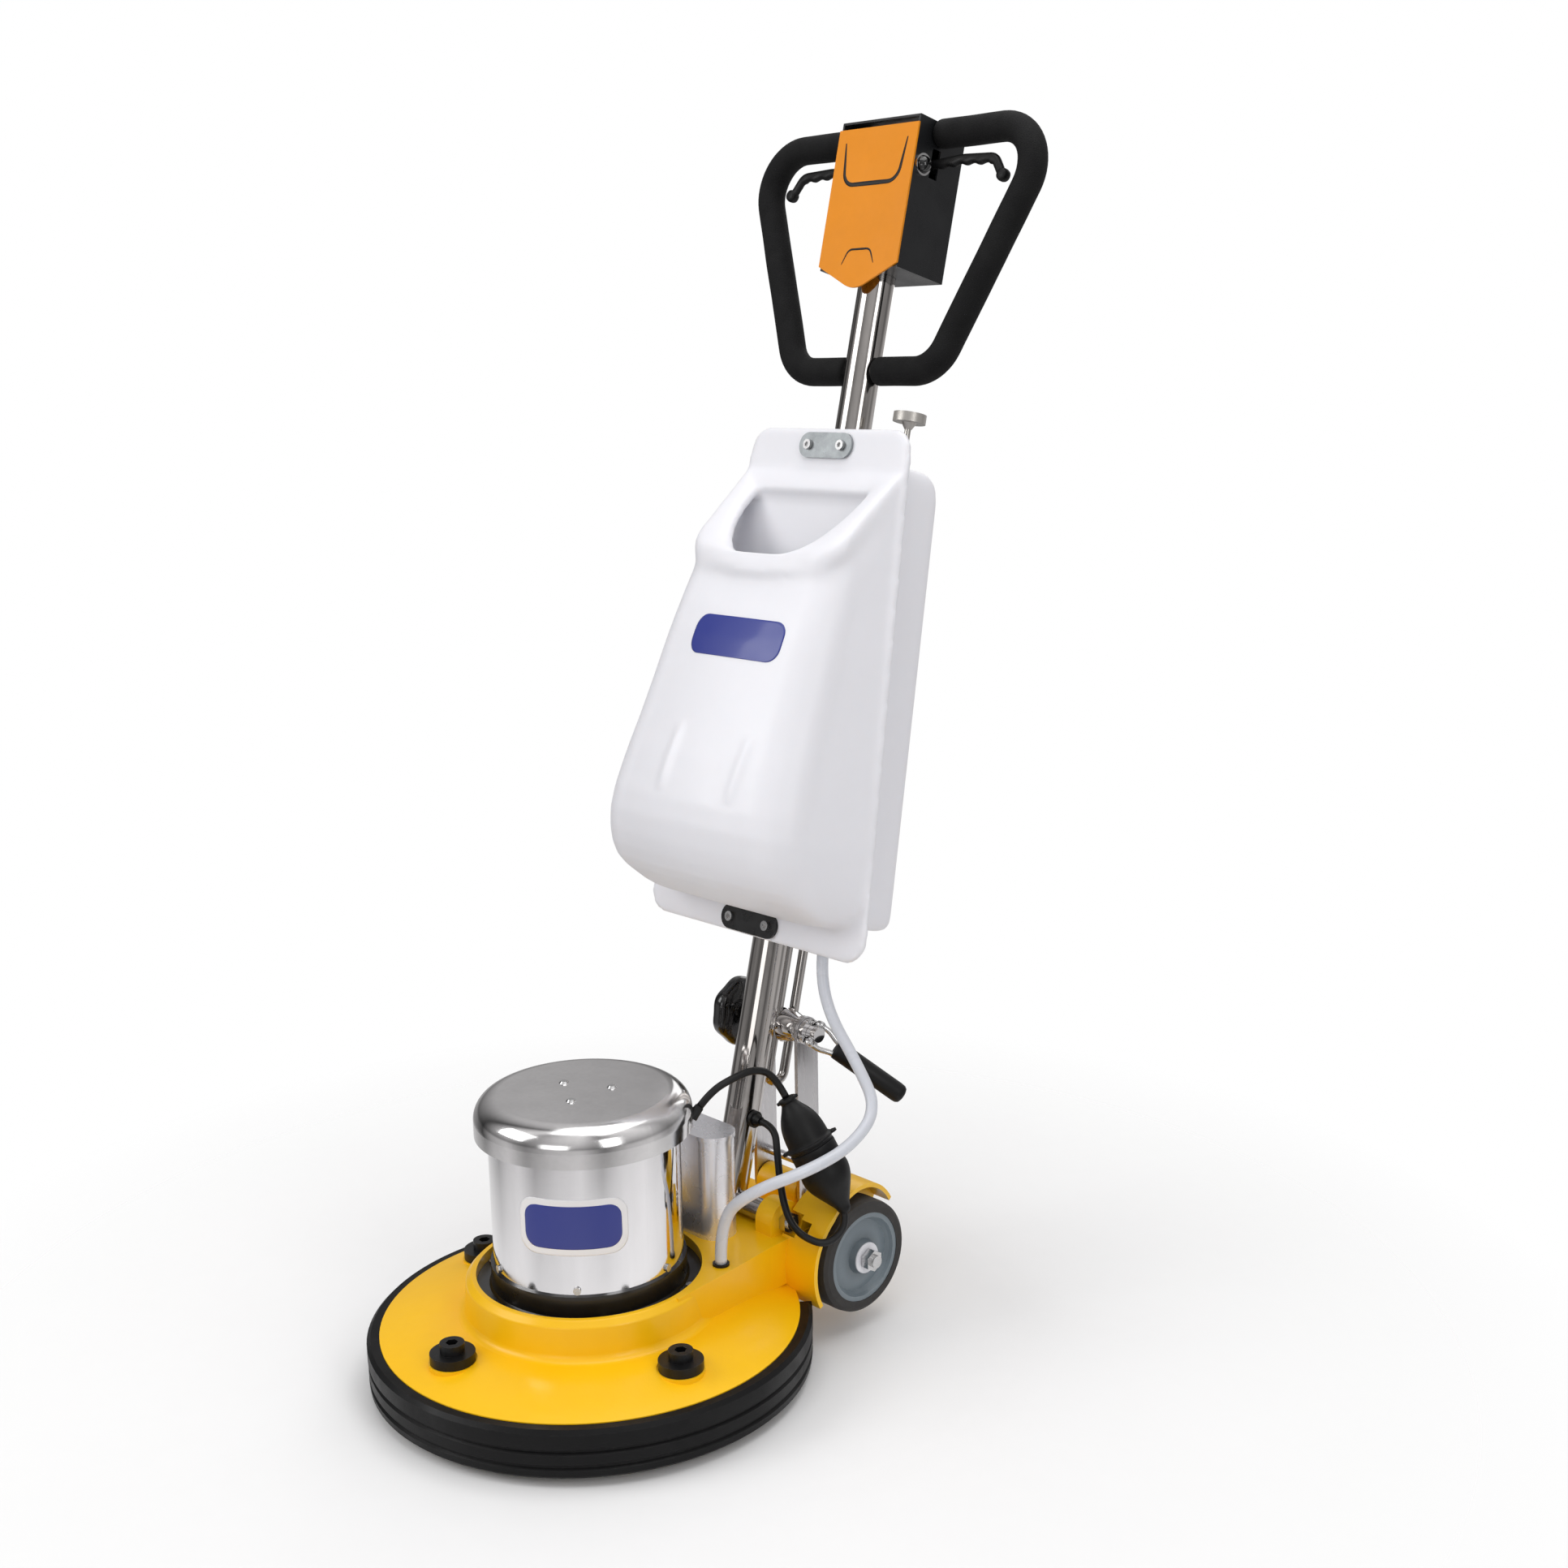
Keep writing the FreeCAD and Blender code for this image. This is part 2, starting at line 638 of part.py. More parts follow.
def gear_outline(teeth, addendum, dedendum, backlash):
    """Corners of a spur gear: four points up each involute flank, the root and the tip left straight."""
    module = N["gear_module"]
    pitch = module * teeth / 2
    base = pitch * math.cos(math.radians(20))
    root = pitch - dedendum * module
    tip = pitch + addendum * module
    half_tooth = math.pi / (2 * teeth) - backlash / (2 * pitch)

    def involute(radius):
        pressure = math.acos(min(1.0, base / radius))
        return math.tan(pressure) - pressure

    flank = [root] + [max(base, root) + (tip - max(base, root)) * k / 3 for k in range(4)]
    points = []
    for tooth in range(teeth):
        centre = 2 * math.pi * tooth / teeth
        angles = [half_tooth + involute(pitch) - involute(max(r, base)) for r in flank]
        points += [(r, centre - a) for r, a in zip(flank, angles)]
        points += [(r, centre + a) for r, a in reversed(list(zip(flank, angles)))]
    corners = [V(r * math.cos(a), r * math.sin(a), 0) for r, a in points]
    distinct = [p for p, q in zip(corners, corners[1:] + corners[:1]) if p.distanceToPoint(q) > 1e-4]
    return distinct + [distinct[0]]


def gear_solid(teeth, low, high, addendum=0.8, dedendum=1.1, backlash=0.3):
    corners = gear_outline(int(teeth), addendum, dedendum, backlash)
    face = Part.Face(Part.makePolygon(corners))
    face.translate(V(0, 0, low))
    return face.extrude(V(0, 0, high - low))


def planet_places():
    radius = N["gear_module"] * (N["sun_teeth"] + N["planet_teeth"]) / 2
    for index, (x, y, angle) in enumerate(bolt_circle(radius, 3)):
        yield "abc"[index], x, y, math.degrees(angle)


def make_gearing():
    low = N["gear_bottom"]
    high = N["gear_top"]
    case = turned([
        (30.03, 70.0), (80.0, 70.0), (80.0, D["deck_floor"]), (94.0, D["deck_floor"]),
        (94.0, D["deck_floor"] + 5), (67.0, D["deck_floor"] + 5), (67.0, D["gear_top"]),
        (58.0, D["gear_top"]), (58.0, D["gear_bottom"]), (67.0, D["gear_bottom"]), (67.0, 76.0),
        (30.03, 76.0),
    ])
    # The space between the ring's teeth is an external gear with its addendum and dedendum exchanged.
    space = gear_solid(N["ring_teeth"], low - 1, high + 1, 1.1, 0.8, -0.3)
    space.rotate(V(0, 0, 0), Z_AXIS, 180.0 / N["ring_teeth"])
    ring_space = shaped(space)
    keep("gear_case", less(case, ring_space))

    sun = shaped(gear_solid(N["sun_teeth"], low, high + 2))
    shaft = turned([
        (0.0, high), (7.0, high), (7.0, 100.0), (D["shaft_radius"], 100.0),
        (D["shaft_radius"], 277.0), (0.0, 277.0),
    ])
    keep("motor_shaft", joined(sun, shaft))

    pin_radius = 7.95
    plate = cylinder(46.0, 5.0, placed(0, 0, 76.5))
    hub = cylinder(29.97, 20.6, placed(0, 0, 56.0))
    pins = []
    for name, x, y, degrees in planet_places():
        pins.append(cylinder(pin_radius, 18.0, placed(x, y, 80.0)))
        blank = gear_solid(N["planet_teeth"], low + 0.2, high - 0.2)
        blank.rotate(V(0, 0, 0), Z_AXIS, degrees + 180.0 / N["planet_teeth"])
        blank.translate(V(x, y, 0))
        bore = cylinder(pin_radius + 0.05, 40, placed(x, y, 70))
        keep(f"planet_gear_{name}", less(shaped(blank), bore))
    keep("planet_carrier", joined(plate, hub, *pins))


# ---- Brush ------------------------------------------------------------------------------------


def make_brush():
    plate = cylinder(62.0, 3.7, placed(0, 0, 52.0))
    lugs = [cylinder(9.0, 8.0, placed(x, y, 44.5)) for x, y, _ in bolt_circle(48.0, 3, 60)]
    keep("drive_plate", joined(plate, *lugs))
    low = D["block_bottom"]
    block = turned([
        (24.0, low), (D["brush_radius"] - 2, low), (D["brush_radius"], low + 3),
        (D["brush_radius"], D["block_top"] - 5), (D["brush_radius"] - 5, D["block_top"]),
        (24.0, D["block_top"]),
    ])
    pockets = [cylinder(9.3, 12.0, placed(x, y, 44.2)) for x, y, _ in bolt_circle(48.0, 3, 60)]
    keep("brush_block", less(block, *pockets))
    keep("brush_bristles", turned([
        (D["bristle_inner"], 0.0), (D["bristle_outer"] + 2, 0.0), (D["bristle_outer"] - 6, low),
        (D["bristle_inner"] + 8, low),
    ]))


# ---- Capacitor box ----------------------------------------------------------------------------


def stadium(x_half, y_half, y_mid, low, height):
    """An upright prism with half-round ends."""
    straight = x_half - y_half
    corners = [
        (-straight, y_mid - y_half), (straight, y_mid - y_half),
        (straight, y_mid + y_half, (value(x_half), value(y_mid))), (-straight, y_mid + y_half),
    ]
    corners[0] = corners[0] + ((-value(x_half), value(y_mid)),)
    prism = padded("XY_Plane", corners, height)
    prism.Placement = placed(0, 0, low)
    return prism


def make_capacitor_box():
    low = D["neck_top"]
    height = D["box_top"] - low
    wall = D["box_wall"]
    body = stadium(D["box_half"], D["box_half_depth"], D["box_centre"], low, height)
    lid = stadium(D["box_half"] + 1.4, D["box_half_depth"] + 1.4, D["box_centre"],
                  D["box_top"] - 5, 5.0)
    room = stadium(D["box_half"] - wall, D["box_half_depth"] - wall, D["box_centre"],
                   low - 1, height - wall + 1)
    keep("capacitor_box", less(joined(body, lid), room))
    keep("capacitors", group([
        cylinder(18.0, 92.0, placed(x, D["box_centre"], N["neck_top"] + 0.2)) for x in (-36, 36)
    ]))


# ---- Wheels and pins --------------------------------------------------------------------------


def make_wheels():
    axle = D["axle_radius"] + 0.06
    inner = D["wheel_inner"]
    outer = D["wheel_outer"]
    rim = D["rim_wheel_radius"]
    # Corners are (radius, distance out along the axle).
    hub_shape = [
        (axle, inner - 7), (18.0, inner - 7), (20.0, inner + 8), (40.0, inner + 10),
        (42.0, inner + 1), (rim, inner + 1), (rim, outer - 1), (45.0, outer - 1),
        (43.0, outer - 5), (40.0, outer - 9), (20.0, outer - 6), (17.0, outer + 3), (axle, outer + 3),
    ]
    tyre_shape = [
        (rim + 0.05, inner), (D["tyre_radius"] - 5, inner), (D["tyre_radius"] - 1, inner + 3),
        (D["tyre_radius"], inner + 9), (D["tyre_radius"], outer - 9),
        (D["tyre_radius"] - 1, outer - 3), (D["tyre_radius"] - 5, outer), (rim + 0.05, outer),
    ]
    for name, side in (("right", 1), ("left", -1)):
        where = placed(0, D["wheel_y"], D["wheel_z"], V(side, 0, 0))
        keep(f"wheel_hub_{name}", turned(hub_shape), where)
        keep(f"tyre_{name}", turned(tyre_shape), where)


def make_pins():
    start = -N["axle_half"]
    axle = cylinder(
        D["axle_radius"], 2 * D["axle_half"], placed(start, D["wheel_y"], D["wheel_z"], X_AXIS))
    reach = N["ear_outer"] + 12
    hinge_bolt = cylinder(
        D["hinge_pin"], 2 * reach, placed(-reach, D["hinge_y"], D["hinge_z"], X_AXIS))
    strut_reach = N["strut_inner"] + N["strut_thick"] + 6
    strut_pin = cylinder(
        D["lug_pin"], 2 * strut_reach, placed(-strut_reach, D["lug_y"], D["lug_z"], X_AXIS))
    heads = [
        tube_hole(9.5, D["lug_pin"] + 0.02, 4.0,
                  placed(x, D["lug_y"], D["lug_z"], X_AXIS))
        for x in (N["strut_inner"] + N["strut_thick"] + GAP,
                  -N["strut_inner"] - N["strut_thick"] - GAP - 4)
    ]
    keep("pivot_pins", group([axle, hinge_bolt, strut_pin]))
    nuts = []
    places = [
        (N["wheel_outer"] + 5, D["wheel_y"], D["wheel_z"], N["axle_radius"], 9.0),
        (N["ear_outer"] + 0.2, D["hinge_y"], D["hinge_z"], N["hinge_pin"], 9.0),
    ]
    for x, y, z, radius, thick in places:
        for start in (x, -x - thick):
            where = placed(start, y, z, X_AXIS)
            bore = cylinder(radius + 0.02, thick + 2, where.multiply(placed(0, 0, -1)))
            nuts.append(less(nut(21.0, thick, where), bore))
    keep("lock_nuts", group(nuts + heads))


# ---- Struts and clamp -------------------------------------------------------------------------


def clamp_centre():
    return COLUMN.multVec(V(0, N["clamp_depth"], N["clamp_height"]))


def make_struts():
    y = D["lug_y"]
    low = D["lug_z"]
    high = D["lug_z"] + D["strut_length"]
    half = D["strut_width"] * 0.5
    corners = [
        (y + half, low), (y + half, high), (y - half, high, (value(y), value(high + half))),
        (y - half, low),
    ]
    corners[0] = corners[0] + ((value(y), value(low - half)),)
    bars = []
    for x in (N["strut_inner"], -N["strut_inner"] - N["strut_thick"]):
        bar = padded("YZ_Plane", corners, D["strut_thick"])
        bar.Placement = placed(x, 0, 0)
        eye = cylinder(D["strut_eye"], 20, placed(x - 5, y, high, X_AXIS))
        pivot = cylinder(D["lug_pin"] + 0.06, 20, placed(x - 5, y, low, X_AXIS))
        bars.append(less(bar, eye, pivot))
    spacer = cylinder(5.0, 2 * D["strut_inner"] + 0.4,
                      placed(-N["strut_inner"] - 0.2, y, N["lug_z"] + 35, X_AXIS))
    keep("struts", joined(*bars, spacer))


def clamp_place(x):
    """A place on the clamp's axis in the column's frame, pointing along +X."""
    return placed(x, D["clamp_depth"], D["clamp_height"], X_AXIS)


LEVER_TURN = 53.0
LEVER_PIN_X = 50.5


def lever_frame():
    """The clamp lever's frame: z along the lever, x along its cross pin, in the column's frame."""
    pin = V(0, 0.56, 0.83).normalize()
    across = V(0, 0.83, -0.56).normalize()
    turn = math.radians(LEVER_TURN)
    along = V(math.cos(turn), 0, 0).add(V(across).multiply(math.sin(turn)))
    third = along.cross(pin)
    matrix = FreeCAD.Matrix(
        pin.x, third.x, along.x, LEVER_PIN_X,
        pin.y, third.y, along.y, N["clamp_depth"],
        pin.z, third.z, along.z, N["clamp_height"],
    )
    return FreeCAD.Placement(matrix)


def make_clamp():
    bolt = cylinder(D["clamp_bolt_radius"], 107, clamp_place(-62))
    head = cylinder(8.5, 13, clamp_place(44.3))
    frame = lever_frame()
    pin_hole = cylinder(4.06, 40, frame.multiply(placed(-20, 0, 0, X_AXIS)))
    whole_bolt = less(joined(bolt, head), pin_hole)
    bore = D["clamp_bolt_radius"] + 0.05
    right = cone(20.0, 14.0, 22.0, clamp_place(5.8))
    right_washer = cylinder(16.0, 4.2, clamp_place(27.9))
    left = cone(14.0, 18.0, 16.0, clamp_place(-21.8))
    left_washer = cylinder(16.0, 10.3, clamp_place(-32.1))
    outer_right = cylinder(15.0, 6.0, clamp_place(38.0))
    outer_left = cylinder(15.0, 12.0, clamp_place(-50.0))
    parts = [joined(right, right_washer), joined(left, left_washer), outer_right, outer_left]
    collars = [less(part, cylinder(bore, 140, clamp_place(-70))) for part in parts]
    keep("clamp_bolt", group([whole_bolt] + collars), COLUMN)

    knob = turned([
        (0.0, 0.0), (20.0, 0.0), (35.0, 3.0), (D["hand_knob_radius"], 9.0),
        (D["hand_knob_radius"], 16.0), (33.0, 22.0), (14.0, 25.0), (12.0, 33.0), (0.0, 33.0),
    ])
    scallops = [
        cylinder(9.0, 30, placed(x, y, -1)) for x, y, _ in bolt_circle(N["hand_knob_radius"] + 5, 7)
    ]
    seat = cylinder(D["clamp_bolt_radius"] + 0.05, 12.1, placed(0, 0, 21))
    keep("clamp_knob", less(knob, seat, *scallops), COLUMN.multiply(clamp_place(-83.2)))

    pin = cylinder(4.0, 32, placed(-16, 0, 0, X_AXIS))
    rods = [cylinder(3.2, 32, placed(x, 0, 0)) for x in (-12.2, 12.2)]
    eyes = [cylinder(5.5, 6.0, placed(x - 3, 0, 0, X_AXIS)) for x in (-12.2, 12.2)]
    bridge = cylinder(4.0, 28.8, placed(-14.4, 0, 28, X_AXIS))
    grip = cylinder(11.2, 94, placed(0, 0, 27))
    lever = joined(pin, bridge, grip, *rods, *eyes)
    lever.Placement = frame
    keep("clamp_lever", lever, COLUMN)


# ---- Column -----------------------------------------------------------------------------------


def make_column():
    low = D["tube_bottom"]
    length = D["tube_top"] - low
    outer = cylinder(D["tube_radius"], length, placed(0, 0, low))
    cross_z = 19.5
    cross_place = placed(-N["cross_half"], 0, cross_z, X_AXIS)
    cross = cylinder(D["cross_radius"], 2 * D["cross_half"], cross_place)
    straps = [
        box(-44, 44, -27.7, -17, s - 14, s + 14) for s in (862, 333)
    ]
    bore = cylinder(D["tube_radius"] - D["tube_wall"], length + 2, placed(0, 0, N["tube_bottom"] + 9))
    holes = [
        cylinder(D["hinge_pin"] + 0.06, 200, placed(-100, 0, cross_z, X_AXIS)),
        cylinder(6.1, 16, placed(12, -2, 114, X_AXIS)),
    ]
    holes += [cylinder(3.1, 20, placed(x, -30, s, Y_AXIS)) for x, s in bracket_bolt_places()]
    keep("column_tube", less(joined(outer, cross, *straps), bore, *holes), COLUMN)


def bracket_bolt_places():
    return [(-25, 862), (25, 862), (-29, 333), (29, 333)]


def make_track():
    """A long closed loop of round rod behind the column, stood off it by two short blocks."""
    near = N["track_near"]
    far = N["track_far"]
    middle = (near + far) / 2
    bend = (far - near) / 2
    low = N["track_bottom"]
    high = N["track_top"]
    legs = [cylinder(D["track_rod"], high - low, placed(0, y, low)) for y in (near, far)]
    ends = []
    for z, turn in ((low, 180), (high, 0)):
        arc = DOC.addObject("Part::Torus", "Bend")
        bind(arc, Radius1=bend, Radius2=D["track_rod"], Angle3=180)
        upright = FreeCAD.Rotation(V(0, 1, 0), V(0, 0, 1), V(1, 0, 0), "ZXY")
        arc.Placement = FreeCAD.Placement(
            V(0, middle, z), FreeCAD.Rotation(X_AXIS, turn).multiply(upright))
        ends.append(arc)
    blocks = [box(-4, 4, 19, near, z - 7, z + 7) for z in (178, 338)]
    loop = joined(*legs, *ends, *blocks)
    keep("clamp_track", less(loop, cylinder(D["tube_radius"] + 0.05, 400, placed(0, 0, 100))), COLUMN)


# ---- Handle and controls ----------------------------------------------------------------------


def handle_points(start, low_end):
    """Centre line of the right half of the handle loop, from the control box round to the column."""
    slope = 0.438

    def leg(z):
        return 126.5 + slope * (z - 998)

    high = N["bar_height"]
    low = N["bar_low"]
    return [V(start, 1, high), V(leg(high), 1, high), V(leg(low), 1, low), V(low_end, 1, low)]


def handle_shape(points, radius, bore=0.0):
    """The loop has a tight lower corner and a slightly wider upper one."""
    top, upper, lower, end = points
    middle = upper.add(lower).multiply(0.5)
    above = swept([top, upper, middle], radius, 46.0, bore)[0]
    below = swept([middle, lower, end], radius, 45.0, bore)[0]
    return above.fuse(below).removeSplitter()


def mirrored(shape):
    return shape.mirror(V(0, 0, 0), X_AXIS)


def make_handle():
    bar = handle_shape(handle_points(0.0, N["tube_radius"] + 0.1), N["bar_radius"])
    keep("handle_loop", shaped(bar.fuse(mirrored(bar)).removeSplitter()), COLUMN)
    foam = handle_shape(
        handle_points(N["case_half"] + 1.0, N["tube_radius"] + 1.5),
        N["grip_radius"], N["bar_radius"] + 0.05)
    keep("foam_grips", group([shaped(foam), shaped(mirrored(foam))]), COLUMN)


def make_control_box():
    half = N["case_half"]
    front = -N["case_front"]
    back = N["case_back"]
    low = N["case_bottom"]
    high = N["case_top"]
    wall = N["case_wall"]
    outer = box(-half, half, front, back, low, high)
    room = box(-half + wall, half - wall, front - 1, back + 1, low + wall, high - wall)
    cuts = [
        cylinder(D["bar_radius"] + 0.15, 140, placed(-70, 1, D["bar_height"], X_AXIS)),
        cylinder(D["tube_radius"] + 0.3, 20, placed(0, 0, low - 5)),
        cylinder(D["button_radius"] + GAP, 20,
                 placed(half - 10, -N["button_depth"], D["button_height"], X_AXIS)),
    ]
    for side in (1, -1):
        x = side * half
        cuts.append(box(x - 8, x + 8, -6.5, 6.5, 1160, 1192))
    pins = [cylinder(3.1, 25, placed(side * 47, -12.5, D["lever_height"], Y_AXIS)) for side in (1, -1)]
    bosses = []
    for x_low, x_high in ((41, 57), (-57, -41)):
        for y_low, y_high in ((-11.8, -7.6), (7.6, 11.8)):
            bosses.append(box(x_low, x_high, y_low, y_high, 1169, 1181))
    shell = joined(less(outer, room), *bosses)
    keep("control_case", less(shell, *cuts, *pins), COLUMN)

    tip = 1036.0
    plate = padded(
        "XZ_Plane",
        [
            (half + 1.0, high - 9), (-half - 1.0, high - 9), (-half - 1.0, low + 4),
            (-14.0, tip + 3), (14.0, tip + 3, (0.0, tip)), (half + 1.0, low + 4),
        ],
        2.2,
    )
    plate.Placement = placed(0, front - 0.1, 0)
    keep("front_plate", plate, COLUMN)
    cover = box(-half, half, back + 0.1, back + 2.1, low, high)
    keep("rear_cover", less(cover, cylinder(8.1, 20, cover_gland_place(-10))), COLUMN)
    unit = box(-34, 34, 22.5, 37.5, 1105, 1160)
    rockers = [box(x - 7, x + 7, 22.5, 34, 1159, 1164) for x in (-22, 22)]
    keep("switch_unit", joined(unit, *rockers), COLUMN)
    keep("mains_gland", cord_gland(), COLUMN)


def cover_gland_place(distance):
    """A place on the axis of the mains lead's gland, measured backwards from the rear cover's face."""
    return placed(30, N["case_back"] + 2.1 + distance, 1078, Y_AXIS)


def cord_gland():
    """The cord gland in the rear cover: a nut inside, a body outside, a bore right through."""
    body = cylinder(8.0, 8.0, cover_gland_place(-6))
    collar = nut(21.0, 7.0, cover_gland_place(0.1))
    nose = cone(8.6, 6.4, 12.0, cover_gland_place(7.1))
    inner = nut(21.0, 4.5, cover_gland_place(-6.7))
    return less(joined(body, collar, nose, inner), cylinder(4.3, 50, cover_gland_place(-20)))


def make_levers():
    height = N["lever_height"]
    for name, side in (("right", 1), ("left", -1)):
        pivot = side * 47.0
        points = [V(side * x, 0, z) for x, z in ((45, height), (98, 1179), (143, 1177), (158, 1157))]
        arm, _, _ = swept(points, N["lever_radius"], 14.0)
        eye = cylinder(7.0, 13.0, placed(pivot, -6.5, height, Y_AXIS))
        tip = ball(6.5, side * 158, 0, 1157)
        solid = joined(shaped(arm), eye, tip)
        pin_hole = cylinder(3.06, 30, placed(pivot, -15, height, Y_AXIS))
        keep(f"start_lever_{name}", less(solid, pin_hole), COLUMN)
    pins = [cylinder(3.0, 24.0, placed(side * 47, -12, height, Y_AXIS)) for side in (1, -1)]
    bolts = []
    for x, s in bracket_bolt_places():
        head = cylinder(5.5, 3.6, placed(x, -43.3, s, Y_AXIS))
        recess = nut(5.0, 2.6, placed(x, -43.4, s, Y_AXIS))
        shank = cylinder(3.0, 24.0, placed(x, -39.8, s, Y_AXIS))
        bolts.append(less(joined(head, shank), recess))
    keep("column_bolts", group(pins + bolts), COLUMN)


def make_button():
    half = N["case_half"]
    place = placed(half - 6, -N["button_depth"], D["button_height"], X_AXIS)
    stem = cylinder(D["button_radius"], 14.0, place)
    dome = ball(9.2, half + 2.2, -N["button_depth"], D["button_height"])
    front = box(half + 4, half + 20, -40, 0, 1150, 1190)
    cap = DOC.addObject("Part::Common", "Dome")
    cap.Base = dome
    cap.Tool = front
    stop = cylinder(7.8, 2.0, placed(half - 8, -N["button_depth"], D["button_height"], X_AXIS))
    keep("safety_button", joined(stem, cap, stop), COLUMN)
    ring_place = placed(half + 0.1, -N["button_depth"], D["button_height"], X_AXIS)
    keep("button_ring", tube_hole(11.8, 9.6, 3.0, ring_place), COLUMN)


# ---- Tank and valve ---------------------------------------------------------------------------


def tank_section(z, half, depth, corner, back):
    """A wire round the tank at one height: straight back, rounded front corners, bowed front."""
    front = -36.0 - depth
    bow = 0.06 * depth
    lean = 0.12 * depth
    a = V(-half, back, z)
    b = V(-half + lean, front + corner, z)
    c = V(-half + lean + corner, front, z)
    d = V(half - lean - corner, front, z)
    e = V(half - lean, front + corner, z)
    f = V(half, back, z)
    pull = corner * (1 - math.sin(math.pi / 4))
    left_via = V(b.x + pull, front + pull, z)
    right_via = V(e.x - pull, front + pull, z)
    return Part.Wire([
        Part.LineSegment(a, b).toShape(), Part.Arc(b, left_via, c).toShape(),
        Part.Arc(c, V(0, front - bow, z), d).toShape(), Part.Arc(d, right_via, e).toShape(),
        Part.LineSegment(e, f).toShape(), Part.LineSegment(f, a).toShape(),
    ])


def tank_half(z):
    """Half-width of the tank's seam flange at a height along the column."""
    return 121.0 + (862.0 - z) * 50.0 / 517.0


def tank_body(shrink):
    """The front bulge of the tank as a solid, pulled in on every side by shrink."""
    stations = [
        (352.0, 62.0, 24.0), (368.0, 104.0, 34.0), (400.0, 126.0, 44.0), (450.0, 128.0, 48.0),
        (560.0, 119.0, 48.0), (680.0, 103.0, 46.0), (800.0, 100.0, 42.0), (834.0, 98.0, 42.0),
    ]
    lift = [shrink] + [0.0] * (len(stations) - 2) + [-shrink]
    wires = [
        tank_section(z + up, tank_half(z) - 7.0 - shrink, depth - shrink, corner - shrink / 2,
                     -28.0 - shrink)
        for (z, depth, corner), up in zip(stations, lift)
    ]
    return Part.makeLoft(wires, True, False)


def rear_lobe(side, shrink):
    """One of the two lobes behind the seam, either side of the column's channel."""
    inner = 26.0 + shrink
    outer = 110.0 - shrink
    high = 838.0 - shrink
    low = N["tank_floor"] + shrink
    front = -34.0 - 1.5 * shrink
    profile = [V(0, front, low), V(0, 71 - shrink, low), V(0, 32 - shrink, high), V(0, front, high)]
    face = Part.Face(Part.makePolygon(profile + profile[:1]))
    face.translate(V(side * inner if side > 0 else -outer, 0, 0))
    block = face.extrude(V(outer - inner, 0, 0))
    upright = [
        edge for edge in block.Edges
        if edge.BoundBox.ZLength > 400 and edge.BoundBox.YMax > 0
    ]
    return block.makeFillet(17.0 - shrink / 2, upright)


MOUTH_TOP = V(0, -44, 812)
MOUTH_DOWN = V(0, -67, -85)


def mouth_frame():
    """The sloping plane of the filler mouth: x across, y up the slope, z out of the tank."""
    up_slope = V(MOUTH_DOWN).normalize().multiply(-1)
    out = X_AXIS.cross(up_slope)
    matrix = FreeCAD.Matrix(
        1, up_slope.x, out.x, MOUTH_TOP.x,
        0, up_slope.y, out.y, MOUTH_TOP.y,
        0, up_slope.z, out.z, MOUTH_TOP.z,
    )
    return FreeCAD.Placement(matrix)


def above_mouth(lift):
    """Everything above the mouth's plane, moved along its normal by lift."""
    block = Part.makeBox(500, 400, 300, V(-250, -330, lift))
    block.Placement = mouth_frame()
    return block


def mouth_hole():
    """The opening itself: a straight upper edge and a rounded lower one."""
    points = [V(-62, 0, -40), V(62, 0, -40), V(78, -22, -40), V(52, -88, -40), V(-52, -88, -40),
              V(-78, -22, -40)]
    right = Part.Arc(points[1], V(77, -6, -40), points[2]).toShape()
    left = Part.Arc(points[5], V(-77, -6, -40), points[0]).toShape()
    bottom = Part.Arc(points[3], V(0, -108, -40), points[4]).toShape()
    wire = Part.Wire([
        Part.LineSegment(points[0], points[1]).toShape(), right,
        Part.LineSegment(points[2], points[3]).toShape(), bottom,
        Part.LineSegment(points[4], points[5]).toShape(), left,
    ])
    hole = Part.Face(wire).extrude(V(0, 0, 80))
    hole.Placement = mouth_frame()
    return hole


def flange_plate(low, high, round_low):
    """A flat end of the tank's seam, with two rounded free corners."""
    corner = 26.0
    wide_low = tank_half(low)
    wide_high = tank_half(high)
    plate = Part.Face(Part.makePolygon([
        V(-wide_low, -36, low), V(wide_low, -36, low), V(wide_high, -36, high),
        V(-wide_high, -36, high), V(-wide_low, -36, low),
    ])).extrude(V(0, 8, 0))
    level = low if round_low else high
    edges = [
        edge for edge in plate.Edges
        if edge.BoundBox.YLength > 7.9 and edge.BoundBox.ZLength < 0.1
        and abs(edge.BoundBox.ZMin - level) < 0.1
    ]
    return plate.makeFillet(corner, edges)


def make_tank():
    wall = N["tank_wall"]
    outer = tank_body(0.0)
    for side in (1, -1):
        outer = outer.fuse(rear_lobe(side, 0.0))
    outer = outer.cut(above_mouth(0.0))
    outer = outer.fuse(flange_plate(316.0, 400.0, True)).fuse(flange_plate(800.0, 882.0, False))
    inner = tank_body(wall)
    for side in (1, -1):
        inner = inner.fuse(rear_lobe(side, wall))
    inner = inner.cut(above_mouth(-wall))
    shell = outer.cut(inner).cut(mouth_hole())
    side = N["valve_side"]
    depth = N["valve_depth"]
    cuts = [Part.makeCylinder(8.85, 30, V(side, depth, 335)),
            Part.makeCylinder(4.6, 30, V(side, depth, 820))]
    cuts += [Part.makeCylinder(3.2, 20, V(x, -45, s), Y_AXIS) for x, s in bracket_bolt_places()]
    cuts.append(Part.makeCylinder(N["tube_radius"] + 1.0, 700, V(0, 0, 300)))
    for cut in cuts:
        shell = shell.cut(cut)
    keep("solution_tank", shaped(shell.removeSplitter()), COLUMN)


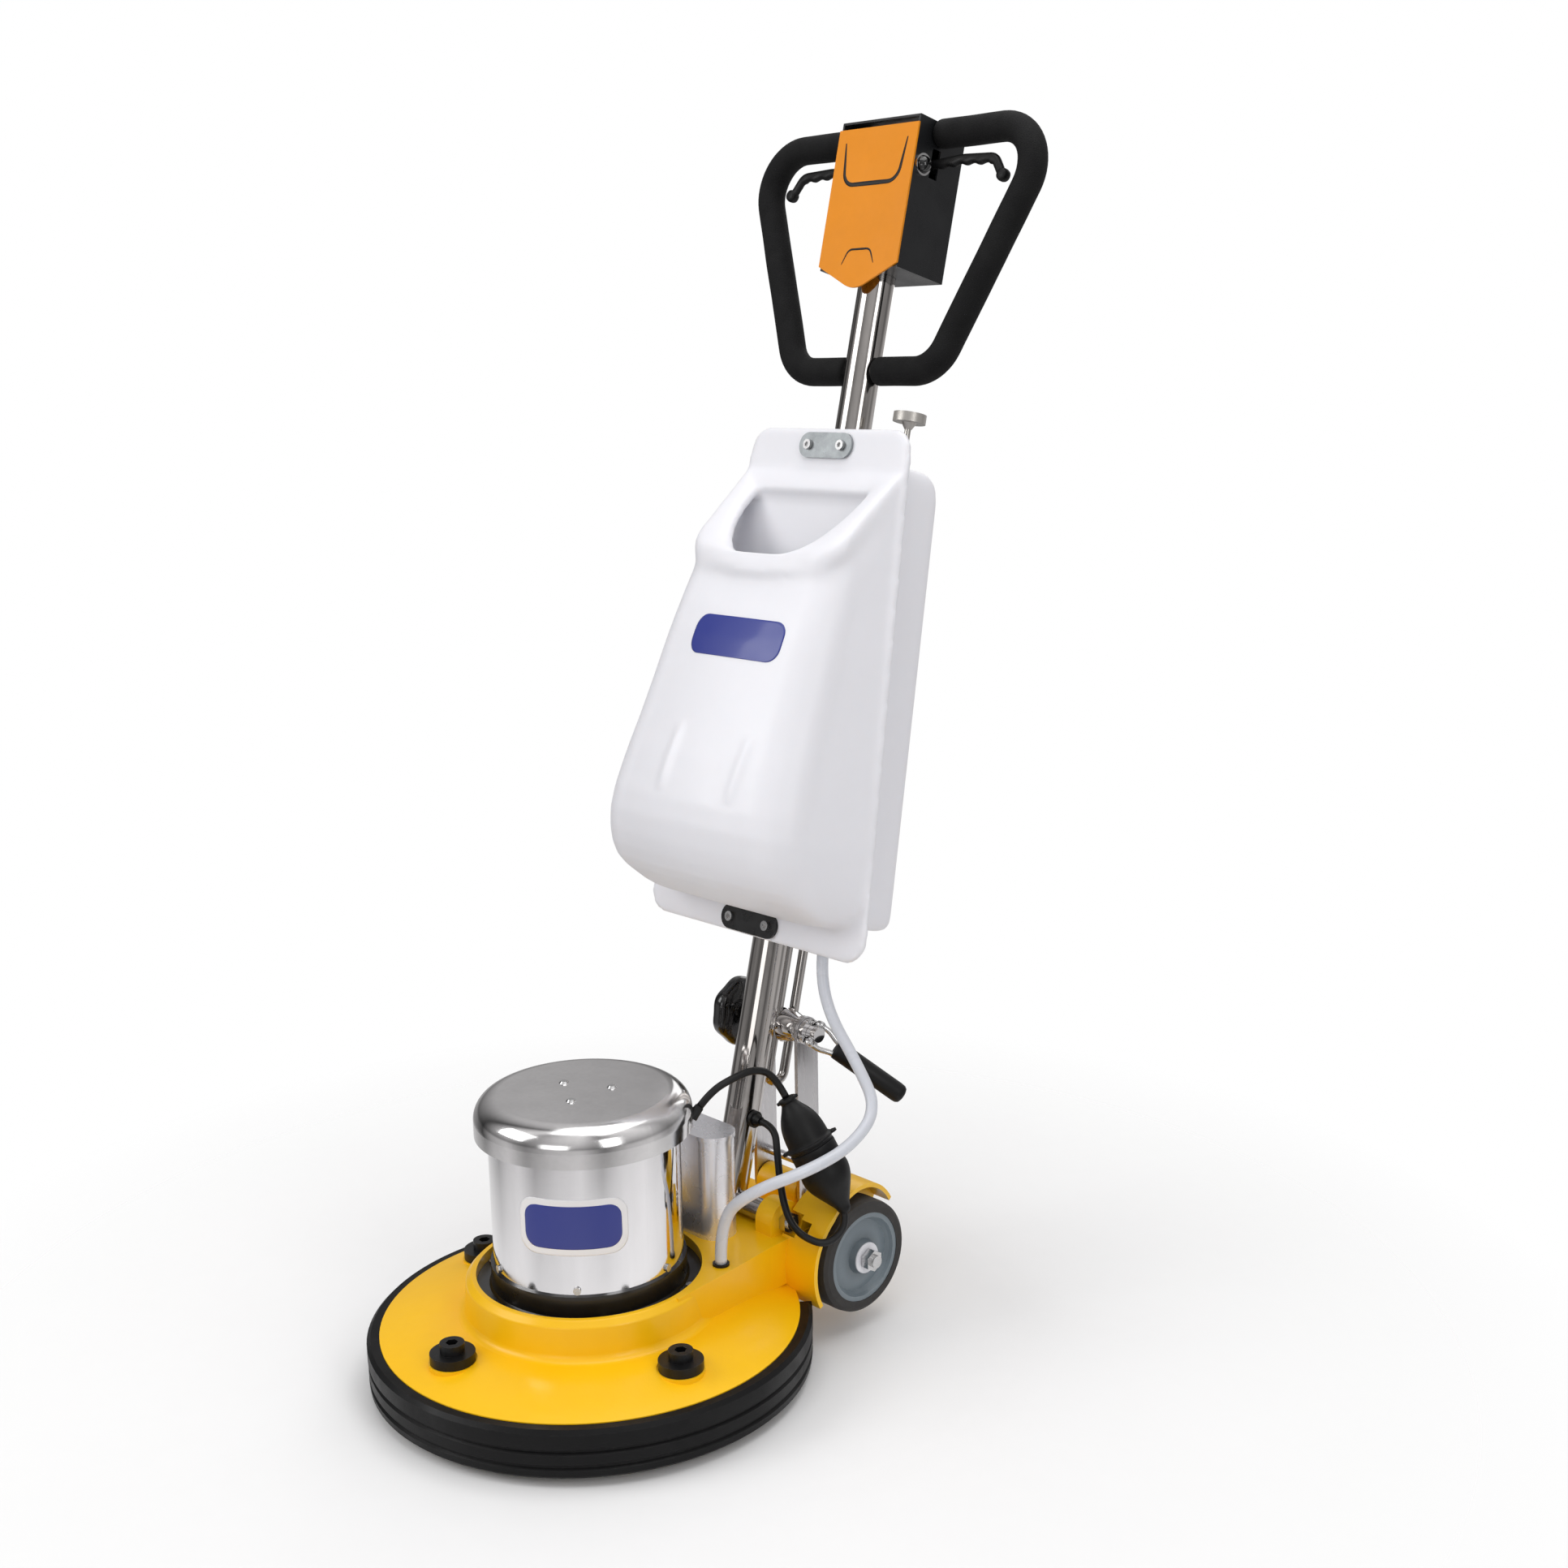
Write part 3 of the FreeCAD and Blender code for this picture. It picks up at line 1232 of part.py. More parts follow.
def make_tank_fittings():
    plates = []
    for s, half in ((862, 40), (333, 44)):
        plate = joined(
            box(-half + 14, half - 14, -39.4, -36.2, s - 14, s + 14),
            *[cylinder(14.0, 3.2, placed(x, -39.4, s, Y_AXIS)) for x in (-half + 14, half - 14)],
        )
        holes = [
            cylinder(3.15, 20, placed(x, -45, z, Y_AXIS))
            for x, z in bracket_bolt_places() if z == s
        ]
        plates.append(less(plate, *holes))
    keep("tank_plates", group(plates), COLUMN)
    side = N["valve_side"]
    depth = N["valve_depth"]
    thread = cylinder(8.7, 16.0, placed(side, depth, 339.5))
    flange = cylinder(12.0, 8.0, placed(side, depth, 341.5))
    nose = cylinder(D["hose_radius"], 12.0, placed(side, depth, 330))
    seat_bore = cylinder(3.5, 60, placed(side, depth, 310))
    keep("tank_valve", less(joined(thread, flange, nose), seat_bore), COLUMN)
    rod = cylinder(3.4, 541.0, placed(side, depth, 356))
    plunger = cone(7.5, 4.0, 8.0, placed(side, depth, 355.8))
    knob = cylinder(18.0, 10.0, placed(side, depth, 896))
    neck = cone(4.0, 9.0, 8.0, placed(side, depth, 889))
    keep("valve_rod", joined(rod, plunger, knob, neck), COLUMN)


# ---- Cords and their fittings -----------------------------------------------------------------

COUPLING_TOP = V(103, 192.8, 277.4)
COUPLING_END = V(154, 218.2, 171.8)

PIGTAIL_ROUTE = [(74.6, 95.3, 287), (79.6, 107.7, 301.8), (86, 131, 311), (90, 160, 315),
                 (91.3, 187.0, 301.6), (103, 192.8, 277.4)]
LEAD_ROUTE = [(33, 220.8, 221.7), (55, 220.8, 221.7), (74, 206, 200), (90, 194, 176),
              (106, 185, 155), (122, 179.5, 142), (143, 177.5, 134), (161.5, 195.5, 124),
              (166.8, 224.5, 145.4), (154, 218.2, 171.8)]
HOSE_ROUTE = [(80, 277.45, 430.0), (80, 270.1, 401), (94, 267, 352), (138, 267, 303),
              (171, 263, 262), (174, 220, 234), (164, 166, 220), (136, 110, 206),
              (101, 96, 170), (101, 96, 119.5)]


def make_coupling():
    """Plug and socket joined in line. Each is turned about the line from the cord to its far end."""
    heading = COUPLING_END.sub(COUPLING_TOP)
    length = heading.Length
    where = FreeCAD.Placement(COUPLING_TOP, FreeCAD.Rotation(Z_AXIS, heading))
    plug = turned([
        (0.0, 0.0), (6.5, 0.0), (8.5, 6.0), (9.5, 16.0), (19.0, 27.0), (23.0, 38.0), (23.5, 52.0),
        (29.0, 54.0), (29.0, 58.0), (25.0, 60.0), (0.0, 60.0),
    ])
    keep("inline_plug", plug, where)
    socket = turned([
        (0.0, 60.1), (25.0, 60.1), (25.0, 62.0), (28.5, 63.0), (28.5, 67.0), (25.5, 69.0),
        (25.5, 96.0), (20.0, 104.0), (12.0, 110.0), (8.5, 114.0), (7.0, length), (0.0, length),
    ])
    keep("inline_socket", socket, where)


def make_cords():
    cord("motor_pigtail", [V(*point) for point in PIGTAIL_ROUTE], N["cord_radius"])
    cord("column_lead", [V(*point) for point in LEAD_ROUTE], N["cord_radius"])
    cord("tank_hose", [V(*point) for point in HOSE_ROUTE], N["hose_radius"])
    keep("pigtail_gland", cone(6.4, 4.8, 14.0, gland_place(-14)))
    bush = cylinder(6.0, 6.0, placed(15.0, -2, 114, X_AXIS))
    collar = cylinder(9.5, 4.0, placed(20.6, -2, 114, X_AXIS))
    nose = cone(7.5, 5.0, 8.6, placed(24.4, -2, 114, X_AXIS))
    keep("lead_grommet", joined(bush, collar, nose), COLUMN)
    spigot = cylinder(6.0, 12.0, placed(101, 96, 106))
    collar = cylinder(9.0, 2.4, placed(101, 96, N["neck_top"] + 0.1))
    keep("hose_spigot", joined(spigot, collar))


def check_and_write():
    DOC.recompute()
    faults = [thing.Label for thing in DOC.Objects if {"Invalid", "Error"} & set(thing.State)]
    for label, thing in NODES.items():
        if thing.Shape.isNull() or not thing.Shape.isValid() or not thing.Shape.Solids:
            faults.append(label)
    if faults:
        raise RuntimeError(f"these objects failed: {faults}")
    os.makedirs("parts", exist_ok=True)
    for label, thing in NODES.items():
        thing.Shape.exportStep(f"parts/{label}.step")
    print(len(NODES), "nodes written")


make_deck()
make_skirt()
make_deck_knobs()
make_motor_housing()
make_motor_inside()
make_gearing()
make_brush()
make_capacitor_box()
make_wheels()
make_pins()
make_struts()
make_clamp()
make_column()
make_track()
make_handle()
make_control_box()
make_levers()
make_button()
make_tank()
make_tank_fittings()
make_coupling()
make_cords()
check_and_write()
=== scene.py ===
"""Looks of the rotary floor machine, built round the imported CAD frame."""

import bisect
import math
import random

import bmesh
import bpy
from mathutils import Matrix, Vector, noise
from mathutils.bvhtree import BVHTree


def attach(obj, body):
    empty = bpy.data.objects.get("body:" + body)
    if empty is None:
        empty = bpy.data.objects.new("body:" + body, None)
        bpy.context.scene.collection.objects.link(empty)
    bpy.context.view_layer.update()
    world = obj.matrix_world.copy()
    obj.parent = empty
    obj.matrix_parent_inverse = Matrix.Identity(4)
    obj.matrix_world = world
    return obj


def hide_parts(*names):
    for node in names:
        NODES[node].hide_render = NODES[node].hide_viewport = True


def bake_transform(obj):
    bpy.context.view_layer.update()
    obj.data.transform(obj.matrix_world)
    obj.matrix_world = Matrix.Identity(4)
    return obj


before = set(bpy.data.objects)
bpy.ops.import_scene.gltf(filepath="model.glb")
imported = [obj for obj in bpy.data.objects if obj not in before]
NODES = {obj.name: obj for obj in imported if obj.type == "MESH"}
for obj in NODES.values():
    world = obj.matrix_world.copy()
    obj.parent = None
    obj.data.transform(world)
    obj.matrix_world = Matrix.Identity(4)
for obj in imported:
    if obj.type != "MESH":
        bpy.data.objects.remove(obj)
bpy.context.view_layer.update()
SCENE = bpy.context.scene

MM = 0.001

# The column's own frame. It leans back by LEAN about its hinge at FOOT, in millimetres.
LEAN = math.radians(14.17)
BACK = Vector((0, math.cos(LEAN), -math.sin(LEAN)))
UP = Vector((0, math.sin(LEAN), math.cos(LEAN)))
FOOT = Vector((0, 194.8, 110.7))

CAMERA_TURN = (46.344, 12.267, -1.026)  # azimuth, elevation and roll in degrees
CAMERA_AIM = Vector((0, 0.29656, 0.58836))
CAMERA_DISTANCE = 2.16578
CAMERA_LENS = 44.847
SENSOR_WIDTH = 36.0

# The studio that shiny parts mirror: grey by height, then by direction round the object.
ROOM_STRENGTH = 0.9
ROOM_HEIGHTS = ((0.0, 0.55), (0.47, 0.5), (0.52, 0.22), (0.6, 0.38), (0.8, 0.62), (1.0, 0.8))
ROOM_BANDS = ((0.0, 0.5), (0.05, 0.12), (0.1, 0.9), (0.16, 1.3), (0.22, 0.5), (0.3, 1.1), (0.38, 1.4),
              (0.45, 0.3), (0.52, 1.2), (0.6, 1.5), (0.66, 0.6), (0.72, 1.4), (0.8, 1.3), (0.86, 0.35),
              (0.9, 1.1), (1.0, 0.5))
HEIGHT_TINT = (1.0, 1.0, 1.02)
BAND_TINT = (1.0, 0.985, 0.97)

WHEEL_AXLE = (0.262, 0.085)  # metres, in Y and Z
PLATES_APART = 0.6  # metres; the upper tank plate is above this height, the lower one below it
FLOOR_CENTRE = (0, 0.15, 0)
FLOOR_SIDES = 96


def leaning(x, w, s):
    """A point of the column, in millimetres across, backward and up the tube, in the row frame."""
    return (FOOT + Vector((x, 0, 0)) + BACK * w + UP * s) * MM


def upright(*p):
    """A point in millimetres in the row frame."""
    return Vector(p) * MM


def placed(name, data):
    """A new object in the scene for some data."""
    obj = bpy.data.objects.new(name, data)
    SCENE.collection.objects.link(obj)
    return obj


# ---- Camera and light ----


def make_camera():
    """The camera of the photo: its direction, distance and lens were fitted to the CAD."""
    azimuth, elevation, roll = (math.radians(a) for a in CAMERA_TURN)
    flat = math.cos(elevation)
    back = Vector((math.sin(azimuth) * flat, -math.cos(azimuth) * flat, math.sin(elevation)))
    level = Vector((math.cos(azimuth), math.sin(azimuth), 0))
    over = back.cross(level)
    right = level * math.cos(roll) + over * math.sin(roll)
    up = over * math.cos(roll) - level * math.sin(roll)
    place = CAMERA_AIM + back * CAMERA_DISTANCE
    camera = placed("camera", bpy.data.cameras.new("camera"))
    axes = Matrix((right, up, back)).transposed().to_4x4()
    camera.matrix_world = Matrix.Translation(place) @ axes
    camera.data.sensor_width = SENSOR_WIDTH
    camera.data.lens = CAMERA_LENS
    camera.data.clip_start = 0.05
    camera.data.clip_end = 60.0
    SCENE.camera = camera


def area_light(name, place, aim, size, power):
    """A soft rectangular lamp that looks at a point."""
    data = bpy.data.lights.new(name, "AREA")
    data.shape = "RECTANGLE"
    data.size, data.size_y = size
    data.energy = power
    lamp = placed(name, data)
    lamp.location = place
    lamp.rotation_mode = "QUATERNION"
    lamp.rotation_quaternion = (Vector(aim) - Vector(place)).to_track_quat("-Z", "Y")


class Tree:
    """A node tree under construction."""

    def __init__(self, tree):
        self.nodes, self.links = tree.nodes, tree.links

    def plug(self, socket, value):
        """The socket takes a number, a colour or another node's socket."""
        if isinstance(value, bpy.types.NodeSocket):
            self.links.new(value, socket)
        else:
            socket.default_value = value

    def node(self, kind, **inputs):
        node = self.nodes.new("ShaderNode" + kind)
        for key, value in inputs.items():
            self.plug(node.inputs[key.replace("_", " ")], value)
        return node

    def remap(self, value, low, high, to_low=0.0, to_high=1.0):
        spans = {"From_Min": low, "From_Max": high, "To_Min": to_low, "To_Max": to_high}
        return self.node("MapRange", Value=value, **spans).outputs["Result"]

    def mixed(self, share, a, b, blend="MIX"):
        """A colour between a and b, or their product; each is a colour or a socket."""
        node = self.node("Mix")
        node.data_type = "RGBA"
        node.blend_type = blend
        for place, value in ((0, share), (6, a), (7, b)):
            self.plug(node.inputs[place], value)
        return node.outputs[2]

    def mixed_shader(self, share, a, b):
        node = self.node("MixShader", Fac=share)
        self.plug(node.inputs[1], a.outputs[0])
        self.plug(node.inputs[2], b.outputs[0])
        return node.outputs[0]

    def greys(self, value, stops, tint):
        """A ramp through greys with a slight tint; each stop is its place and its value."""
        ramp = self.node("ValToRGB", Fac=value)
        elements = ramp.color_ramp.elements
        while len(elements) < len(stops):
            elements.new(0.5)
        for element, (place, grey) in zip(elements, stops):
            element.position = place
            element.color = (*(grey * share for share in tint), 1)
        return ramp.outputs["Color"]


def make_world():
    """White behind the object, and a soft grey studio with a darker far side for what shines."""
    world = bpy.data.worlds.new("studio")
    SCENE.world = world
    world.use_nodes = True
    t = Tree(world.node_tree)
    t.nodes.clear()
    coords = t.node("TexCoord").outputs["Generated"]
    height = t.remap(t.node("SeparateXYZ", Vector=coords).outputs["Z"], -1.0, 1.0)
    around = t.node("TexGradient", Vector=coords)
    around.gradient_type = "RADIAL"
    by_height = t.greys(height, ROOM_HEIGHTS, HEIGHT_TINT)
    by_turn = t.greys(around.outputs["Fac"], ROOM_BANDS, BAND_TINT)
    colour = t.mixed(1.0, by_height, by_turn, "MULTIPLY")
    room = t.node("Background", Color=colour, Strength=ROOM_STRENGTH)
    seen = t.node("Background", Color=(1, 1, 1, 1), Strength=1.0)
    by_camera = t.node("LightPath").outputs["Is Camera Ray"]
    t.node("OutputWorld", Surface=t.mixed_shader(by_camera, room, seen))


def make_lights():
    """A key light at the left, a strip at the right, and fill from over, in front and behind."""
    middle = (0, 0.2, 0.5)
    area_light("key", (-1.5, -2.4, 2.1), middle, (1.8, 1.8), 34)
    area_light("side", (2.9, -0.5, 1.5), middle, (0.9, 2.0), 18)
    area_light("over", (0.2, 0.3, 3.0), middle, (2.2, 2.2), 28)
    area_light("front", (1.2, -3.0, 0.9), (0, 0, 0.4), (1.6, 1.0), 9)
    area_light("behind", (-1.2, 2.6, 1.6), middle, (1.6, 1.6), 10)


# ---- Mesh helpers ----


def clamped(value):
    """The value, kept between 0 and 1."""
    return min(1.0, max(0.0, value))


def turns(count):
    """Evenly spaced angles round one turn."""
    return [math.tau * k / count for k in range(count)]


def arc(before, corner, after, radius, steps=None):
    """Points of the arc that rounds a corner between its neighbours; by default one each 5 degrees."""
    a, b = (before - corner).normalized(), (after - corner).normalized()
    half = a.angle(b) / 2
    centre = corner + (a + b).normalized() * radius / math.sin(half)
    start = corner + a * radius / math.tan(half) - centre
    end = corner + b * radius / math.tan(half) - centre
    turn = start.angle(end)
    steps = steps or max(4, round(math.degrees(turn) / 5))
    points = []
    for k in range(steps + 1):
        share = k / steps
        point = start * math.sin((1 - share) * turn) + end * math.sin(share * turn)
        points.append(centre + point / math.sin(turn))
    return points


def mesh_of(name, bm):
    """The mesh of a finished bmesh, with its normals outward."""
    bmesh.ops.recalc_face_normals(bm, faces=bm.faces)
    mesh = bpy.data.meshes.new(name)
    bm.to_mesh(mesh)
    bm.free()
    return mesh


def piece(name, bm, body, finish, stands_for=()):
    """A bmesh becomes a smooth piece of the object that rides on a body."""
    return dressed(name, mesh_of(name, bm), body, finish, stands_for)


def dressed(name, mesh, body, finish, stands_for=()):
    """The object for a finished mesh: smooth, with its material, body and the node it replaces."""
    mesh.name = name
    mesh.shade_smooth()
    mesh.materials.clear()
    mesh.materials.append(finish)
    obj = placed(name, mesh)
    if body:
        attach(obj, body)
    if stands_for:
        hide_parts(*stands_for)
    return obj


def loft(bm, loops, capped=True):
    """Faces between rings of points, all with the same number of points."""
    rows = [[bm.verts.new(p) for p in loop] for loop in loops]
    count = len(rows[0])
    for low, high in zip(rows, rows[1:]):
        for i in range(count):
            j = (i + 1) % count
            bm.faces.new((low[i], low[j], high[j], high[i]))
    if capped:
        bm.faces.new(rows[0][::-1])
        bm.faces.new(rows[-1])


def running(line):
    """The distance from the start of a line to each of its points."""
    lengths = [0.0]
    for a, b in zip(line, line[1:]):
        lengths.append(lengths[-1] + (b - a).length)
    return lengths


def along(line, lengths, distance):
    """The point a distance along a line."""
    distance = min(max(distance, 0.0), lengths[-1])
    k = min(bisect.bisect_right(lengths, distance) - 1, len(line) - 2)
    return line[k].lerp(line[k + 1], (distance - lengths[k]) / (lengths[k + 1] - lengths[k]))


def tube(bm, line, radius, sides=20, step=0.004, edge=0.0, first=None):
    """A round bar along a line. radius is a number, or a function of the distance and the angle."""
    lengths = running(line)
    total = lengths[-1]
    count = max(2, round(total / step))
    spots = {round(total * i / count, 7) for i in range(count + 1)}
    for k in range(4):
        drop = edge * (1 - math.cos(math.radians(22.5 * k)))
        spots |= {round(drop, 7), round(total - drop, 7)}
    normal = Vector(first) if first else None
    loops = []
    for spot in sorted(spots):
        here = along(line, lengths, spot)
        ahead = along(line, lengths, spot + 0.0015) - along(line, lengths, spot - 0.0015)
        ahead.normalize()
        if normal is None:
            normal = ahead.orthogonal()
        normal = (normal - ahead * normal.dot(ahead)).normalized()
        other = ahead.cross(normal)
        inset = 0.0
        near = min(spot, total - spot)
        if edge and near < edge:
            inset = edge - math.sqrt(max(edge**2 - (edge - near) ** 2, 0))
        loop = []
        for angle in turns(sides):
            r = radius(spot, angle) if callable(radius) else radius
            loop.append(here + (normal * math.cos(angle) + other * math.sin(angle)) * (r - inset))
        loops.append(loop)
    loft(bm, loops)


def bent(points, radii):
    """A polyline with each inner corner rounded to its own radius."""
    line = [points[0]]
    for before, corner, after, radius in zip(points, points[1:], points[2:], radii):
        line += arc(before, corner, after, radius)
    return [*line, points[-1]]


def lathe(bm, profile, foot, axis, sides=64, swell=None):
    """A turned shape: profile pairs are radius and distance along the axis, in millimetres."""
    axis = axis.normalized()
    side = axis.orthogonal().normalized()
    other = axis.cross(side)
    loops = []
    for radius, distance in profile:
        loop = []
        for angle in turns(sides):
            r = radius * (swell(angle, radius, distance) if swell else 1.0)
            around = side * math.cos(angle) + other * math.sin(angle)
            loop.append(foot + (axis * distance + around * r) * MM)
        loops.append(loop)
    loft(bm, loops)


def smooth_profile(profile, steps=4):
    """More points along a profile, on a Catmull-Rom curve through the given ones."""
    out = []
    for k in range(len(profile) - 1):
        p0 = Vector(profile[max(k - 1, 0)])
        p1, p2 = Vector(profile[k]), Vector(profile[k + 1])
        p3 = Vector(profile[min(k + 2, len(profile) - 1)])
        for i in range(steps):
            t = i / steps
            point = 0.5 * (
                2 * p1 + (p2 - p0) * t + (2 * p0 - 5 * p1 + 4 * p2 - p3) * t * t
                + (3 * p1 - p0 - 3 * p2 + p3) * t**3)
            out.append(tuple(point))
    return [*out, tuple(profile[-1])]


def evaluated(obj, name):
    """The mesh of an object after its modifiers; the object goes away."""
    depsgraph = bpy.context.evaluated_depsgraph_get()
    mesh = bpy.data.meshes.new_from_object(obj.evaluated_get(depsgraph))
    mesh.name = name
    bpy.data.objects.remove(obj)
    return mesh


# ---- Materials ----


def linear(r, g, b):
    """A linear colour from display values of 0 to 255."""
    def one(v):
        v /= 255
        return v / 12.92 if v <= 0.04045 else ((v + 0.055) / 1.055) ** 2.4
    return (one(r), one(g), one(b), 1.0)


def scaled(colour, factor):
    """The same colour, lighter or darker."""
    return (*(min(c * factor, 1.0) for c in colour[:3]), 1.0)


class Finish(Tree):
    """A procedural material under construction, in object coordinates."""

    def __init__(self, name):
        self.material = bpy.data.materials.new(name)
        self.material.use_nodes = True
        super().__init__(self.material.node_tree)
        self.shader = self.nodes["Principled BSDF"]
        self.output = self.nodes["Material Output"]
        self.coords = self.node("TexCoord").outputs["Object"]

    def set(self, **values):
        """Inputs of the shader, each a number, a colour or a socket."""
        for key, value in values.items():
            self.plug(self.shader.inputs[key.replace("_", " ")], value)

    def noise(self, scale, detail=3.0, stretch=None, twist=0.0):
        """Noise that is stretched along Z where stretch is below 1."""
        where = self.coords
        if stretch:
            where = self.node("Mapping", Scale=(1, 1, stretch), Vector=where).outputs["Vector"]
        node = self.node("TexNoise", Scale=scale, Detail=detail, Distortion=twist, Vector=where)
        return node.outputs["Fac"]

    def cells(self, scale):
        """Small round pits."""
        return self.node("TexVoronoi", Scale=scale, Vector=self.coords).outputs["Distance"]

    def axes(self):
        """The object coordinates, apart."""
        return self.node("SeparateXYZ", Vector=self.coords).outputs

    def maths(self, operation, *values):
        node = self.node("Math")
        node.operation = operation
        for socket, value in zip(node.inputs, values):
            self.plug(socket, value)
        return node.outputs[0]

    def both(self, a, b):
        """Seven tenths of one value and three tenths of another."""
        return self.maths("ADD", self.maths("MULTIPLY", a, 0.7), self.maths("MULTIPLY", b, 0.3))

    def edges(self, radius):
        """1 along sharp edges and 0 on flats."""
        bevel = self.node("Bevel", Radius=radius)
        bevel.samples = 4
        dot = self.node("VectorMath")
        dot.operation = "DOT_PRODUCT"
        self.plug(dot.inputs[0], bevel.outputs["Normal"])
        self.plug(dot.inputs[1], self.node("NewGeometry").outputs["Normal"])
        return self.remap(dot.outputs["Value"], 0.99, 0.82)

    def height(self, value, depth, strength=1.0, below=None):
        """Relief of a depth in metres, on top of another relief."""
        node = self.node("Bump", Strength=strength, Distance=depth, Height=value)
        if below:
            self.plug(node.inputs["Normal"], below)
        return node.outputs["Normal"]

    def give_way(self, share, other):
        """The surface turns into another shader where share is 1."""
        self.plug(self.output.inputs["Surface"], self.mixed_shader(share, self.shader, other))


def surface(
    name, colour, rough, metal=0.0, vary=0.06, tone=18.0, tone_stretch=None, swing=0.06, smear=30.0,
    smear_stretch=None, grain=(900.0, 0.00006), wave=None, wear=None, coat=0.0, coat_rough=0.08,
    soft=0.0, soft_reach=0.004, specular=0.5, sheen=0.0,
):
    """The usual finish: colour that drifts, roughness that drifts, fine relief and worn edges."""
    f = Finish(name)
    drift = f.noise(tone, 4.0, tone_stretch)
    fine = f.noise(tone * 9, 3.0, tone_stretch)
    share = f.remap(f.both(drift, fine), 0.3, 0.7)
    base = f.mixed(share, scaled(colour, 1 - vary), scaled(colour, 1 + vary))
    if wear:
        edge_colour, amount, reach = wear
        chips = f.remap(f.noise(160.0, 4.0), 0.42, 0.62)
        worn = f.maths("MULTIPLY", f.maths("MULTIPLY", f.edges(reach), chips), amount)
        base = f.mixed(worn, base, edge_colour)
    f.set(Base_Color=base)
    smudge = f.noise(smear, 5.0, smear_stretch, 0.4)
    f.set(Roughness=f.remap(smudge, 0.3, 0.7, max(rough - swing, 0.02), min(rough + swing, 1.0)))
    relief = f.height(f.noise(grain[0], 3.0), grain[1])
    if wave:
        relief = f.height(f.noise(wave[0], 2.0), wave[1], 1.0, relief)
    f.set(Normal=relief)
    f.set(Metallic=metal, Coat_Weight=coat, Coat_Roughness=coat_rough, Specular_IOR_Level=specular)
    if soft:
        f.set(Subsurface_Weight=soft, Subsurface_Radius=(1.0, 0.9, 0.85), Subsurface_Scale=soft_reach)
    if sheen:
        f.set(Sheen_Weight=sheen, Sheen_Roughness=0.5)
    return f


